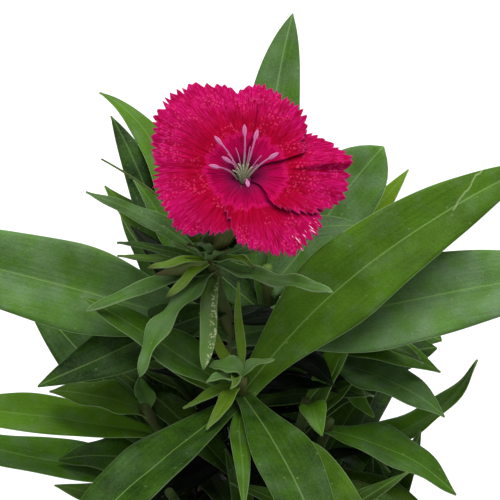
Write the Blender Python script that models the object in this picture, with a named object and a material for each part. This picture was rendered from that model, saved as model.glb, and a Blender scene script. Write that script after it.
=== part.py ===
"""A flowering dianthus in a plain nursery pot.

Metres, +Z up. The pot's base lies on z = 0 and its axis is the Z axis. The flower leans a little toward -Y.
"""

import math
import random

import bmesh
import bpy
from mathutils import Vector
from mathutils.bvhtree import BVHTree

# Driving dimensions, in millimetres; every mesh is scaled to metres when it is made
MM = 0.001
GAP = 0.3

POT_HEIGHT = 85.0
POT_BASE_RADIUS = 34.5
POT_WALL = 1.2
POT_FLOOR = 1.7
POT_STEPS = 32
COLLAR_HEIGHT = 14.0
COLLAR_RADIUS = 44.6
RIM_RADIUS = 47.9
DRAIN_HOLES = 6
DRAIN_RADIUS = 3.5
DRAIN_CIRCLE = 22.0
DRAIN_SIDES = 8

SOIL_TOP = 77.0
SOIL_BUMP = 0.7
STEM_DEPTH = 15.0
STEM_SIDES = 6
STEM_FOOT_RADIUS = 1.6
STEM_TIP_RADIUS = 1.15
STEM_BEND_AT = 0.55
HOLE_CLEARANCE = 1.7 * GAP
HOLE_OVERSHOOT = 6.0

# A leaf's listed width is this many times its widest half width
LEAF_WIDTH_SHARE = 1.8
LEAF_THICKNESS = 0.75
LEAF_FOLD = 20.0
LEAF_ROOT = 0.28
LEAF_WIDEST = 0.42
LEAF_TIP = 0.35
LEAF_CLEARANCE = 0.4
ROOT_OFFSET = 0.2
ROOT_ROWS = 2
FILL_SEED = 11
FILL_HEIGHTS = (0.34, 0.54, 0.76, 0.95)
LONGEST_REACH = 110.0
TUFT_HALF_WIDTH = 40.0
TUFT_FRONT = -24.0

THROAT = Vector((-1.0, 9.0, 214.0))
TUBE_AXIS = Vector((0.24, -0.14, 0.96)).normalized()
FACE_AXIS = Vector((0.12, -0.34, 0.93)).normalized()
FLOWER_NECK = 31.0
CALYX_START = 5.0
CALYX_LENGTH = 19.0
CALYX_RADIUS = 3.0
CALYX_BORE = 2.2
CALYX_SIDES = 12
BUD_AXIS = Vector((-0.95, -0.25, -0.1)).normalized()
BUD_SIDES = 10
TUBE_RADIUS = 1.85
TUBE_BORE = 1.15
TUBE_LENGTH = 14.0
TUBE_SIDES = 10
PETAL_THICKNESS = 0.75
PETAL_TEETH = 8
TOOTH_DEPTH = 1.7
PETAL_START = 1.4
COLUMN_RADII = (0.8, 0.75, 0.5)
FILAMENT_RADII = (0.42, 0.33, 0.33)
FILAMENT_SIDES = 4
ANTHER_LENGTH = 2.4
ANTHER_RADII = (0.4, 0.75, 0.45)
ANTHER_SIDES = 5

# Where each petal points in the flower's face and how far it spreads to each side, in degrees,
# and its reach
PETALS = ((136, 48, 23.4), (69, 43, 20.0), (5, 44, 21.9), (-66, 47, 20.4), (-150, 50, 20.8))
# Each anther's place in the flower's face: across, up and above it
ANTHERS = (
    (-6.1, 5.2, 4.0),
    (-1.0, 7.8, 4.5),
    (1.4, 7.2, 4.0),
    (5.0, 2.9, 4.0),
    (-6.5, -0.4, 3.5),
    (-4.2, 0.8, 4.5),
    (0.2, -3.4, 3.5),
)


class Leaf:
    """One leaf: where it leaves its stem as a share of the stem's height, then its angles and its size.

    Azimuth is measured from +X toward +Y, rise above the horizontal. Droop is how far the leaf bends
    down from its root to its tip, turn how far it swings sideways, and roll how far its face is tipped.
    Blunt makes the tip rounder.
    """

    def __init__(self, height, azimuth, rise, length, width, droop=20, turn=0, roll=0, blunt=2.6):
        self.height, self.azimuth, self.rise = height, azimuth, rise
        self.length, self.width = length, width
        self.droop, self.turn, self.roll = droop, turn, roll
        self.blunt = blunt


# Each shoot: where it leaves the soil, where it ends, how many pairs of leaves fill it, and its placed leaves
SHOOTS = {
    "flower_stem": (
        (2, 8),
        tuple(THROAT - FLOWER_NECK * TUBE_AXIS),
        0,
        [
            Leaf(0.80, 183, 22, 94, 20.5, 0, -6, -36),
            Leaf(0.78, 358, 19, 88, 21.5, 8, 2, 32),
            Leaf(0.86, 203, -4, 44.5, 14, 10, 0, -15),
            Leaf(1.00, 150, 21, 32, 5.5, 20, 4),
            Leaf(1.00, 180, 20, 21, 3.2, 10),
            Leaf(0.98, 174, 10, 21, 3.2, 13),
            Leaf(0.97, 203, 10, 30, 6, 24),
            Leaf(1.00, 15, 20, 39, 8, 42, -4),
            Leaf(1.00, 328, 12, 30, 7, 5, 6, 10),
            Leaf(0.97, 236, 12, 31, 8, 66, 0, 20),
            Leaf(0.96, 264, 8, 24, 4.5, 55),
        ],
    ),
    "shoot_centre": (
        (-1, -4),
        (-2, -8, 170),
        2,
        [
            Leaf(0.93, 46, 33, 84, 19.5, 18, -26, 25),
            Leaf(0.90, 231, 14, 74, 15.5, 32, 2, 11),
            Leaf(0.93, 292, 12, 64, 14.5, 42, 0, -3),
            Leaf(0.80, 305, 22, 60, 13, 38, -3, 6),
            Leaf(0.92, 160, 40, 41, 11.5, 9, 0, 4),
            Leaf(0.86, 150, 20, 34, 5, 18, 0, 8),
            Leaf(0.90, 268, 20, 36, 4.5, 26, 6),
            Leaf(0.98, 92, 50, 22, 3.6, 10),
            Leaf(0.97, 128, 42, 18, 4, 15),
            Leaf(0.99, 205, 50, 9, 4.5, 70),
            Leaf(0.99, 20, 60, 9, 4.5, 80),
        ],
    ),
    "shoot_back": (
        (5, 17),
        (4, 30, 166),
        2,
        [
            Leaf(0.80, 94, 54, 75, 15.5, 32, -18),
            Leaf(0.92, 31, 46, 42.5, 20, 10, 8, 8, 6.0),
            Leaf(0.84, 150, 30, 26, 10, 12),
            Leaf(0.72, 196, 34, 24, 10, 16),
            Leaf(0.75, 34, 46, 52, 10.5, 17, 8, 8),
        ],
    ),
    "shoot_back_left": (
        (-9, 14),
        (-14, 27, 168),
        2,
        [
            Leaf(0.90, 92, 56, 57, 7.5, 58, 48, 4),
            Leaf(0.80, 119, 60, 54, 9.5, 24, 4),
            Leaf(0.90, 131, 45, 34, 9, 29, 2),
            Leaf(0.98, 140, 62, 26, 6.5, 23),
            Leaf(0.70, 118, 41, 43, 11, 28, 6, 8),
        ],
    ),
    "shoot_left": (
        (-10, 3),
        (-24, 4, 147),
        2,
        [
            Leaf(0.70, 142, 37, 54, 16, 20, -5, -12),
            Leaf(0.95, 176, 36, 24, 9.5, 40, 4),
            Leaf(0.85, 185, 23, 62, 11, 24, 0, -10),
            Leaf(0.65, 185, 12, 66, 12, -12, -5, -4),
            Leaf(0.72, 187, 16, 27, 11.5, 22, 0, -4),
        ],
    ),
    "shoot_front_left": (
        (-9, -8),
        (-18, -15, 140),
        2,
        [
            Leaf(0.62, 152, 8, 38, 10, 25),
        ],
    ),
    "shoot_front_right": (
        (9, -5),
        (18, 1, 146),
        2,
        [
            Leaf(0.78, 317, 15, 48, 13, 33, 0, 5),
            Leaf(0.95, 332, 16, 34, 13, 48, -4, -12),
        ],
    ),
    "shoot_young": (
        (6, 0),
        (13, 2, 152),
        0,
        [
            Leaf(0.97, 285, 50, 14, 6.5, 80),
            Leaf(0.85, 35, 62, 31, 6.5, 8),
            Leaf(0.85, 38, 30, 16, 5, 25),
            Leaf(0.80, 50, 30, 26, 5.5, 80, -20),
        ],
    ),
    "shoot_right": (
        (12, 8),
        (19, 19, 153),
        2,
        [
            Leaf(0.60, 358, 0, 49, 10.5, -78, 20, -12),
            Leaf(0.92, 319, 28, 34.5, 11.5, 42, 0, 4),
            Leaf(0.95, 342, 44, 30, 6.5, 35, -40, -8),
        ],
    ),
    "shoot_far_right": ((9, 21), (20, 42, 138), 4, [Leaf(0.97, 336, 22, 28.5, 12.5, 26, 0, 0, 6.0)]),
    "shoot_far_back": ((-3, 22), (-6, 48, 138), 4, [Leaf(0.90, 36, 50, 24, 9, 12)]),
    "shoot_far_left": ((-15, 9), (-27, 34, 136), 4, []),
    "shoot_front": ((1, -12), (5, -35, 134), 4, []),
    "shoot_low_right": ((13, -10), (30, -26, 130), 4, [Leaf(0.90, 87, 30, 26, 9, 26)]),
}


def material(name, colour, roughness):
    """A plain coloured surface"""
    made = bpy.data.materials.new(name)
    made.use_nodes = True
    shader = made.node_tree.nodes["Principled BSDF"]
    shader.inputs["Base Color"].default_value = (*colour, 1.0)
    shader.inputs["Roughness"].default_value = roughness
    shader.inputs["Metallic"].default_value = 0.0
    return made


def solid(name, points, faces, finish):
    """An object in metres from points in millimetres"""
    mesh = bpy.data.meshes.new(name)
    mesh.from_pydata([tuple(Vector(p) * MM) for p in points], [], faces)
    mesh.validate()
    mesh.materials.append(finish)
    made = bpy.data.objects.new(name, mesh)
    bpy.context.scene.collection.objects.link(made)
    return made


def keep_main_body(mesh):
    """Fills the hollows that fusing sealed, and drops loose scraps, by keeping the largest closed shell"""
    work = bmesh.new()
    work.from_mesh(mesh)
    bmesh.ops.triangulate(work, faces=work.faces[:])
    left, shells = set(work.faces), []
    while left:
        shell, front = set(), [left.pop()]
        while front:
            face = front.pop()
            shell.add(face)
            for edge in face.edges:
                for other in edge.link_faces:
                    if other in left:
                        left.remove(other)
                        front.append(other)
        shells.append(shell)
    volumes = [sum(f.verts[0].co.dot(f.verts[1].co.cross(f.verts[2].co)) for f in shell) for shell in shells]
    main_shell = shells[volumes.index(max(volumes))]
    bmesh.ops.delete(work, geom=[f for f in work.faces if f not in main_shell], context="FACES")
    work.to_mesh(mesh)
    work.free()


def boolean(target, operation, parts):
    """Joins all the parts to the target, or cuts them from it, and removes them"""
    group = bpy.data.collections.new(target.name + "_parts")
    bpy.context.scene.collection.children.link(group)
    for part in parts:
        bpy.context.scene.collection.objects.unlink(part)
        group.objects.link(part)
    step = target.modifiers.new(operation.lower(), "BOOLEAN")
    step.operation = operation
    step.operand_type = "COLLECTION"
    step.collection = group
    step.solver = "EXACT"
    bpy.context.view_layer.update()
    depsgraph = bpy.context.evaluated_depsgraph_get()
    mesh = bpy.data.meshes.new_from_object(target.evaluated_get(depsgraph))
    target.modifiers.clear()
    target.data = mesh
    keep_main_body(mesh)
    for part in parts:
        bpy.data.objects.remove(part)
    bpy.data.collections.remove(group)


def turned(name, outline, steps, finish):
    """A round solid from an outline of (radius, height) that starts and ends on the axis"""
    rings = outline[1:-1]
    points = [(0, 0, outline[0][1]), (0, 0, outline[-1][1])]
    for radius, height in rings:
        for k in range(steps):
            angle = math.tau * k / steps
            points.append((radius * math.cos(angle), radius * math.sin(angle), height))
    faces = []
    for k in range(steps):
        nxt = (k + 1) % steps
        faces.append((0, 2 + nxt, 2 + k))
        last = 2 + steps * (len(rings) - 1)
        faces.append((1, last + k, last + nxt))
        for r in range(len(rings) - 1):
            low, high = 2 + steps * r, 2 + steps * (r + 1)
            faces.append((low + k, low + nxt, high + nxt, high + k))
    return solid(name, points, faces, finish)


def post(name, x, y, bottom, top, radius, sides, finish):
    """An upright prism"""
    points = []
    for height in (bottom, top):
        for k in range(sides):
            angle = math.tau * k / sides
            points.append((x + radius * math.cos(angle), y + radius * math.sin(angle), height))
    faces = [tuple(reversed(range(sides))), tuple(range(sides, 2 * sides))]
    for k in range(sides):
        nxt = (k + 1) % sides
        faces.append((k, nxt, sides + nxt, sides + k))
    return solid(name, points, faces, finish)


def pot_inside(height):
    """The pot's inner radius at a height"""
    collar_bottom = POT_HEIGHT - COLLAR_HEIGHT
    base, top = POT_BASE_RADIUS - POT_WALL, COLLAR_RADIUS - 2.0 - POT_WALL
    if height <= collar_bottom:
        return base + (top - base) * height / collar_bottom
    share = min(1.0, (height - collar_bottom) / COLLAR_HEIGHT)
    return COLLAR_RADIUS - POT_WALL + 1.4 * share


def make_pot(finish):
    """A thin moulded pot with a wider collar, a rolled rim and drain holes round a solid middle"""
    collar = POT_HEIGHT - COLLAR_HEIGHT
    outline = [
        (0, 0),
        (POT_BASE_RADIUS - 1.3, 0),
        (POT_BASE_RADIUS, 1.3),
        (COLLAR_RADIUS - 2.0, collar - 1.0),
        (COLLAR_RADIUS, collar + 1.0),
        (RIM_RADIUS - 1.9, POT_HEIGHT - 2.8),
        (RIM_RADIUS - 0.4, POT_HEIGHT - 2.4),
        (RIM_RADIUS, POT_HEIGHT - 1.2),
        (RIM_RADIUS - 0.5, POT_HEIGHT),
        (RIM_RADIUS - 2.4, POT_HEIGHT),
        (COLLAR_RADIUS + 0.2, POT_HEIGHT - 0.8),
        (COLLAR_RADIUS - POT_WALL, collar + 1.6),
        (COLLAR_RADIUS - 2.0 - POT_WALL, collar - 0.4),
        (POT_BASE_RADIUS - POT_WALL, POT_FLOOR + 1.2),
        (POT_BASE_RADIUS - POT_WALL - 1.2, POT_FLOOR),
        (0, POT_FLOOR),
    ]
    pot = turned("pot", outline, POT_STEPS, finish)
    drills = []
    for k in range(DRAIN_HOLES):
        angle = math.tau * (k + 0.5) / DRAIN_HOLES
        x, y = DRAIN_CIRCLE * math.cos(angle), DRAIN_CIRCLE * math.sin(angle)
        drills.append(post("drill", x, y, -2, POT_FLOOR + 2, DRAIN_RADIUS, DRAIN_SIDES, finish))
    boolean(pot, "DIFFERENCE", drills)


def soil_height(x, y):
    """The lumpy top of the soil"""
    waves = math.sin(0.31 * x + 1.0) * math.cos(0.27 * y) + 0.6 * math.sin(0.53 * y - 0.4 * x)
    return SOIL_TOP + SOIL_BUMP * waves


def make_soil(finish):
    """The peat that fills the pot, with a plain hole for each stem"""
    collar = POT_HEIGHT - COLLAR_HEIGHT
    outline = [
        (0, POT_FLOOR + GAP),
        (POT_BASE_RADIUS - POT_WALL - 1.2 - GAP, POT_FLOOR + GAP),
        (POT_BASE_RADIUS - POT_WALL - GAP, POT_FLOOR + 1.2 + 2 * GAP),
        (COLLAR_RADIUS - 2.0 - POT_WALL - 1.2 * GAP, collar - 0.4),
        (COLLAR_RADIUS - POT_WALL - 1.2 * GAP, collar + 1.8),
        (pot_inside(SOIL_TOP) - 2 * GAP, SOIL_TOP),
        (30, SOIL_TOP),
        (15, SOIL_TOP),
        (0, SOIL_TOP),
    ]
    soil = turned("potting_soil", outline, POT_STEPS, finish)
    for vertex in soil.data.vertices:
        x, y, z = vertex.co / MM
        if abs(z - SOIL_TOP) < 0.01:
            vertex.co.z = soil_height(x, y) * MM
    work = bmesh.new()
    work.from_mesh(soil.data)
    bmesh.ops.triangulate(work, faces=work.faces[:])
    work.to_mesh(soil.data)
    work.free()
    holes = []
    for foot, _, _, _ in SHOOTS.values():
        bottom = SOIL_TOP - STEM_DEPTH - GAP
        top = SOIL_TOP + HOLE_OVERSHOOT
        radius = STEM_FOOT_RADIUS + HOLE_CLEARANCE
        holes.append(post("hole", foot[0], foot[1], bottom, top, radius, STEM_SIDES, finish))
    boolean(soil, "DIFFERENCE", holes)


def stem_point(shoot, height):
    """A point of a shoot's stem, from 0 at the soil to 1 at its end"""
    foot, tip, _, _ = SHOOTS[shoot]
    low, end = Vector((foot[0], foot[1], SOIL_TOP)), Vector(tip)
    bend = low + Vector((0, 0, STEM_BEND_AT * (end.z - low.z)))
    rest = 1 - height
    return rest * rest * low + 2 * height * rest * bend + height * height * end


def tube(name, centres, radii, sides, finish):
    """A round bar through the centres, closed at both ends"""
    points, faces = [], []
    for i, centre in enumerate(centres):
        ahead = centres[min(i + 1, len(centres) - 1)] - centres[max(i - 1, 0)]
        ahead.normalize()
        side = Vector((0, 1, 0)).cross(ahead)
        if side.length < 0.2:
            side = Vector((1, 0, 0)).cross(ahead)
        side.normalize()
        other = ahead.cross(side)
        for k in range(sides):
            angle = math.tau * k / sides
            points.append(centre + radii[i] * (math.cos(angle) * side + math.sin(angle) * other))
    for i in range(len(centres) - 1):
        for k in range(sides):
            nxt = (k + 1) % sides
            faces.append((i * sides + k, i * sides + nxt, (i + 1) * sides + nxt))
            faces.append((i * sides + k, (i + 1) * sides + nxt, (i + 1) * sides + k))
    first = tuple(reversed(range(sides)))
    last = tuple(range((len(centres) - 1) * sides, len(centres) * sides))
    return solid(name, points, faces + [first, last], finish)


def make_stem(shoot, finish):
    """The bare stem, which stands upright in its hole and then leans to its end"""
    foot = SHOOTS[shoot][0]
    centres = [Vector((foot[0], foot[1], SOIL_TOP - STEM_DEPTH)), Vector((foot[0], foot[1], SOIL_TOP))]
    radii = [STEM_FOOT_RADIUS, STEM_FOOT_RADIUS]
    pieces = 5
    for k in range(1, pieces + 1):
        centres.append(stem_point(shoot, k / pieces))
        radii.append(STEM_FOOT_RADIUS + (STEM_TIP_RADIUS - STEM_FOOT_RADIUS) * k / pieces)
    return tube(shoot, centres, radii, STEM_SIDES, finish)


def half_width(along, blunt):
    """A lance-shaped blade's half width as a share of its widest, from 0 at the root to 1 at the tip"""
    rise = min(along / LEAF_WIDEST, 1.0)
    swell = LEAF_ROOT + (1 - LEAF_ROOT) * rise * rise * (3 - 2 * rise)
    return swell * (1 - along**blunt) ** 0.9


def heading(leaf, along):
    """The way a leaf points at a share of its length, and the level way to its left"""
    azimuth = math.radians(leaf.azimuth + leaf.turn * along)
    rise = math.radians(leaf.rise - leaf.droop * along**1.3)
    flat_x, flat_y = math.cos(azimuth), math.sin(azimuth)
    ahead = Vector((flat_x * math.cos(rise), flat_y * math.cos(rise), math.sin(rise)))
    return ahead, Vector((-flat_y, flat_x, 0))


def leaf_rows(leaf, root, rows):
    """The leaf's left edge, midrib and right edge at each row, with the way up there"""
    place, made = root.copy(), []
    for i in range(rows + 1):
        along = i / rows
        ahead, level = heading(leaf, along)
        roll = math.radians(leaf.roll)
        side = level * math.cos(roll) + ahead.cross(level) * math.sin(roll)
        up = ahead.cross(side)
        width = max(LEAF_TIP, leaf.width / LEAF_WIDTH_SHARE * half_width(along, leaf.blunt))
        fold = math.radians(LEAF_FOLD * (1.3 - 0.8 * along))
        edges = []
        for v in (1, 0, -1):
            edges.append(place + width * (v * math.cos(fold) * side + abs(v) * math.sin(fold) * up))
        made.append((edges, up))
        place = place + heading(leaf, (i + 0.5) / rows)[0] * leaf.length / rows
    return made


def leaf_solid(rows, thickness):
    """The points and faces of a closed blade, split into triangles alike on both faces"""
    points, faces = [], []
    for edges, up in rows:
        points += [edge + up * thickness / 2 for edge in edges]
        points += [edge - up * thickness / 2 for edge in edges]
    for i in range(len(rows) - 1):
        near, far = 6 * i, 6 * (i + 1)
        for j in (0, 1):
            a, b, c, d = near + j, near + j + 1, far + j + 1, far + j
            if j == 0:
                split = ((a, b, c), (a, c, d))
            else:
                split = ((a, b, d), (b, c, d))
            faces += split
            faces += [tuple(index + 3 for index in reversed(face)) for face in split]
        faces += [(near, far, far + 3), (near, far + 3, near + 3)]
        faces += [(near + 2, near + 5, far + 5), (near + 2, far + 5, far + 2)]
    last = 6 * (len(rows) - 1)
    faces += [(0, 3, 4, 1), (1, 4, 5, 2)]
    faces += [(last, last + 1, last + 4, last + 3), (last + 1, last + 2, last + 5, last + 4)]
    return points, faces


def row_count(leaf):
    """Long leaves get more rows than short ones"""
    return 7 if leaf.length > 70 else 5 if leaf.length > 50 else 4


def surface(points, faces):
    """A search tree of a closed shape, to test what crosses it"""
    return BVHTree.FromPolygons([tuple(p) for p in points], faces)


def outer_part(points, faces, rows):
    """The faces of a blade beyond its first rows, where it has left its own stem"""
    return [face for face in faces if min(face) >= 6 * rows]


def has_room(rows, widest):
    """Whether a leaf is clear of the soil and the pot's rim and inside the tuft, which widens to the front"""
    for edges, _ in rows:
        for point in edges:
            over_rim = math.hypot(point.x, point.y) < RIM_RADIUS + 2
            if over_rim and point.z < POT_HEIGHT + 1.5:
                return False
            if abs(point.x) > widest + max(0.0, TUFT_FRONT - point.y):
                return False
    return True


class Thicket:
    """All the stems and leaves that have grown so far, shoot by shoot"""

    def __init__(self):
        self.whole, self.outer = [], []

    def add(self, shoot, points, faces, outer_faces):
        self.whole.append((shoot, surface(points, faces)))
        if outer_faces:
            self.outer.append((shoot, surface(points, outer_faces)))

    def crossed(self, shoot, points, faces, outer_faces):
        """Whether a blade would cross another shoot anywhere, or its own shoot beyond its root"""
        tree = surface(points, faces)
        if any(tree.overlap(other) for owner, other in self.whole if owner != shoot):
            return True
        tip = surface(points, outer_faces)
        return any(tip.overlap(other) for owner, other in self.outer if owner == shoot)


# A leaf that would cross another is lifted or turned by the smallest of these that leaves it clear
NUDGES = sorted(
    ((lift, swing) for lift in range(-32, 33, 2) for swing in range(-32, 33, 4)),
    key=lambda nudge: abs(nudge[0]) + 0.8 * abs(nudge[1]),
)


def grow(thicket, shoot, leaf, widest):
    """Places one leaf clear of all that has grown, and returns its rows, or None where there is no room"""
    for lift, swing in NUDGES:
        moved = Leaf(leaf.height, leaf.azimuth + swing, leaf.rise + lift, leaf.length, leaf.width,
                     leaf.droop, leaf.turn, leaf.roll, leaf.blunt)
        back = Vector((math.cos(math.radians(moved.azimuth)), math.sin(math.radians(moved.azimuth)), 0))
        rows = leaf_rows(moved, stem_point(shoot, leaf.height) + ROOT_OFFSET * back, row_count(leaf))
        if not has_room(rows, widest):
            continue
        points, faces = leaf_solid(rows, LEAF_THICKNESS + 2 * LEAF_CLEARANCE)
        if not thicket.crossed(shoot, points, faces, outer_part(points, faces, ROOT_ROWS)):
            points, faces = leaf_solid(rows, LEAF_THICKNESS)
            thicket.add(shoot, points, faces, outer_part(points, faces, ROOT_ROWS))
            return points, faces
    return None


def fill_pairs(rng, shoot):
    """Opposite pairs of leaves, each pair turned a quarter from the one below, shorter toward the tip"""
    _, tip, pairs, _ = SHOOTS[shoot]
    outward = math.degrees(math.atan2(tip[1], tip[0]))
    leaves = []
    for number, height in enumerate(FILL_HEIGHTS[:pairs]):
        across = outward + 90 * (number % 2) + rng.uniform(-12, 12)
        length = (58 - 26 * max(0.0, height - 0.5)) * rng.uniform(0.85, 1.1)
        for side in (0, 180):
            facing = math.cos(math.radians(across + side - outward))
            rise = 20 + 26 * height - 12 * facing + rng.uniform(-6, 6)
            reach = length * (0.85 + 0.15 * facing)
            leaves.append(Leaf(height, across + side, rise, reach, 0.2 * reach, rng.uniform(22, 42),
                               rng.uniform(-8, 8), rng.uniform(-10, 10)))
    return leaves


def grow_shoots(finish):
    """Stems first, then the leaves placed one by one, then the pairs that fill each shoot"""
    thicket, blades = Thicket(), {}
    stems = {shoot: make_stem(shoot, finish) for shoot in SHOOTS}
    for shoot, stem in stems.items():
        points = [v.co / MM for v in stem.data.vertices]
        thicket.add(shoot, points, [tuple(p.vertices) for p in stem.data.polygons], [])
        blades[shoot] = []
    orders = [(shoot, leaf, LONGEST_REACH) for shoot, (_, _, _, leaves) in SHOOTS.items() for leaf in leaves]
    rng = random.Random(FILL_SEED)
    for shoot in SHOOTS:
        orders += [(shoot, leaf, TUFT_HALF_WIDTH) for leaf in fill_pairs(rng, shoot)]
    for shoot, leaf, widest in orders:
        grown = grow(thicket, shoot, leaf, widest)
        if grown:
            blades[shoot].append(solid("leaf", *grown, finish))
    return stems, blades


def ring_lathe(name, origin, axis, outline, steps, finish):
    """A turned piece stood on a slanted axis"""
    made = turned(name, outline, steps, finish)
    turn = Vector((0, 0, 1)).rotation_difference(axis)
    for vertex in made.data.vertices:
        vertex.co = (turn @ (vertex.co / MM) + origin) * MM
    return made


def calyx(finish):
    """The green cup that holds the flower's tube, with a short neck below it"""
    start = THROAT - FLOWER_NECK * TUBE_AXIS
    bottom, top = CALYX_START, CALYX_START + CALYX_LENGTH
    outline = [
        (0, -1.5),
        (STEM_TIP_RADIUS + 0.1, -1.5),
        (STEM_TIP_RADIUS + 0.1, bottom),
        (CALYX_RADIUS - 0.5, bottom + 1.5),
        (CALYX_RADIUS, bottom + 5),
        (CALYX_RADIUS, top),
        (CALYX_BORE, top),
        (CALYX_BORE, bottom + 3),
        (0, bottom + 3),
    ]
    return ring_lathe("calyx", start, TUBE_AXIS, outline, CALYX_SIDES, finish)


def bud(finish):
    """The unopened flower beside the open one"""
    start = THROAT - FLOWER_NECK * TUBE_AXIS
    outline = [(0, -1), (1.0, -1), (2.4, 2.5), (2.7, 6), (2.1, 10), (0.7, 13), (0, 13)]
    return ring_lathe("bud", start, BUD_AXIS, outline, BUD_SIDES, finish)


def face_frame():
    """Across, up and out of the flower's face"""
    across = Vector((0, 1, 0)).cross(FACE_AXIS).normalized()
    return across, FACE_AXIS.cross(across), FACE_AXIS


def petal_point(spread, swing, along, rim):
    """A point of a petal in the face's frame, its swing from -1 to 1 across and along from 0 to 1"""
    radius = PETAL_START + (rim - PETAL_START) * along
    opening = 0.55 + 0.45 * min(1.0, along / 0.35)
    angle = math.radians(spread * swing * opening)
    sink = -3.0 * max(0.0, 1 - radius / 4.5) ** 1.5
    lift = 1.6 * math.sin(math.pi * along) + 1.2 * along**2
    pinwheel = -1.0 * swing * min(1.0, along / 0.3)
    ruffle = 0.55 * along**2 * math.sin(4.2 * swing + 1.0)
    return radius, angle, sink + lift + pinwheel + ruffle


def petal(number, finish):
    """A petal with a toothed rim, one edge over its neighbour and the other under"""
    towards, spread, reach = PETALS[number]
    rng = random.Random(number)
    across, up, out = face_frame()
    columns, shares = 2 * PETAL_TEETH, (0.0, 0.35, 0.75, 1.0)
    rims = []
    for k in range(columns + 1):
        swing = 2 * k / columns - 1
        rim = reach * (1 - 0.2 * abs(swing) ** 3)
        if k % 2 == 0:
            rim -= TOOTH_DEPTH * rng.uniform(0.6, 1.1)
        rims.append(rim + rng.uniform(-0.3, 0.3))
    points = []
    for offset in (PETAL_THICKNESS / 2, -PETAL_THICKNESS / 2):
        for share in shares:
            for k in range(columns + 1):
                swing = 2 * k / columns - 1
                rim = rims[k] if share == 1.0 else reach * (1 - 0.2 * abs(swing) ** 3)
                radius, angle, height = petal_point(spread, swing, share, rim)
                angle += math.radians(towards)
                flat = across * math.cos(angle) + up * math.sin(angle)
                points.append(THROAT + flat * radius + out * (height + offset))
    row, layer = columns + 1, (columns + 1) * len(shares)
    faces = []
    for i in range(len(shares) - 1):
        for k in range(columns):
            a, b = i * row + k, i * row + k + 1
            c, d = b + row, a + row
            split = ((a, d, c), (a, c, b))
            faces += split
            faces += [tuple(index + layer for index in reversed(face)) for face in split]
        left, right = i * row, i * row + columns
        faces += [(left, left + layer, left + row + layer), (left, left + row + layer, left + row)]
        faces += [(right, right + row, right + row + layer), (right, right + row + layer, right + layer)]
    outer = (len(shares) - 1) * row
    for k in range(columns):
        faces += [(k, k + 1, k + 1 + layer), (k, k + 1 + layer, k + layer)]
        a, b = outer + k, outer + k + 1
        faces += [(a, a + layer, b + layer), (a, b + layer, b)]
    return solid("petal", points, faces, finish)


def make_corolla(finish):
    """Five petals on a narrow tube that stands in the calyx"""
    start = THROAT - TUBE_LENGTH * TUBE_AXIS
    top = TUBE_LENGTH - 1.6
    outline = [
        (TUBE_BORE, 0),
        (TUBE_RADIUS, 0),
        (TUBE_RADIUS, top - 1.5),
        (TUBE_RADIUS + 0.6, top),
        (TUBE_BORE + 0.35, top),
        (TUBE_BORE, top - 1.5),
    ]
    points, faces = [], []
    turn = Vector((0, 0, 1)).rotation_difference(TUBE_AXIS)
    for radius, height in outline:
        for k in range(TUBE_SIDES):
            angle = math.tau * k / TUBE_SIDES
            points.append(start + turn @ Vector((radius * math.cos(angle), radius * math.sin(angle), height)))
    for i in range(len(outline)):
        nxt_ring = (i + 1) % len(outline)
        for k in range(TUBE_SIDES):
            nxt = (k + 1) % TUBE_SIDES
            low, high = i * TUBE_SIDES, nxt_ring * TUBE_SIDES
            faces.append((low + k, low + nxt, high + nxt, high + k))
    corolla = solid("corolla", points, faces, finish)
    boolean(corolla, "UNION", [petal(k, finish) for k in range(len(PETALS))])


def make_stamens(finish):
    """Filaments and anthers on one column that stands in the flower's tube"""
    across, up, out = face_frame()
    floor = THROAT - (FLOWER_NECK - CALYX_START - 3 - GAP) * TUBE_AXIS
    neck = THROAT - 3.0 * TUBE_AXIS
    column = tube("stamens", [floor, neck, neck + 1.5 * TUBE_AXIS], COLUMN_RADII, 8, finish)
    parts = []
    for number, (x, y, height) in enumerate(ANTHERS):
        root = neck - (0.5 + 0.23 * number) * TUBE_AXIS + 0.03 * (across * x + up * y)
        end = THROAT + across * x + up * y + out * height
        bend = THROAT + 0.2 * (across * x + up * y) + out * (0.8 * height)
        parts.append(tube("filament", [root, bend, end], FILAMENT_RADII, FILAMENT_SIDES, finish))
        lean = (across * x + up * y + out).normalized()
        ends = [end - lean * ANTHER_LENGTH * 0.4, end + lean * 0.1, end + lean * ANTHER_LENGTH * 0.6]
        parts.append(tube("anther", ends, ANTHER_RADII, ANTHER_SIDES, finish))
    boolean(column, "UNION", parts)


def main():
    for old in list(bpy.data.objects):
        bpy.data.objects.remove(old)
    plastic = material("black_polypropylene", (0.012, 0.012, 0.013), 0.5)
    peat = material("peat", (0.045, 0.027, 0.016), 0.95)
    green = material("dianthus_leaf", (0.09, 0.2, 0.05), 0.5)
    magenta = material("dianthus_petal", (0.62, 0.005, 0.1), 0.6)
    lilac = material("dianthus_stamen", (0.6, 0.3, 0.45), 0.6)
    make_pot(plastic)
    make_soil(peat)
    stems, blades = grow_shoots(green)
    blades["flower_stem"] += [calyx(green), bud(green)]
    for shoot, stem in stems.items():
        boolean(stem, "UNION", blades[shoot])
    make_corolla(magenta)
    make_stamens(lilac)


main()
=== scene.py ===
# %% [markdown]
# # A dianthus in its nursery pot
#
# This lesson dresses a plain solid model of a small flowering dianthus until it looks alive. The solids already have
# every stem, leaf and petal in its place, as flat-sided pieces. Here each leaf becomes a thin, waved blade with a
# keel, a pale margin and fine veins, each petal a ruffled, fringed fan, and the pot and the peat get real surfaces.
#
# The frame is loaded first, because everything is measured against it.

# %% Load the frame
import math
import random

import bpy
import numpy as np
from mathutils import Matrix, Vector
from mathutils.bvhtree import BVHTree


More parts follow.
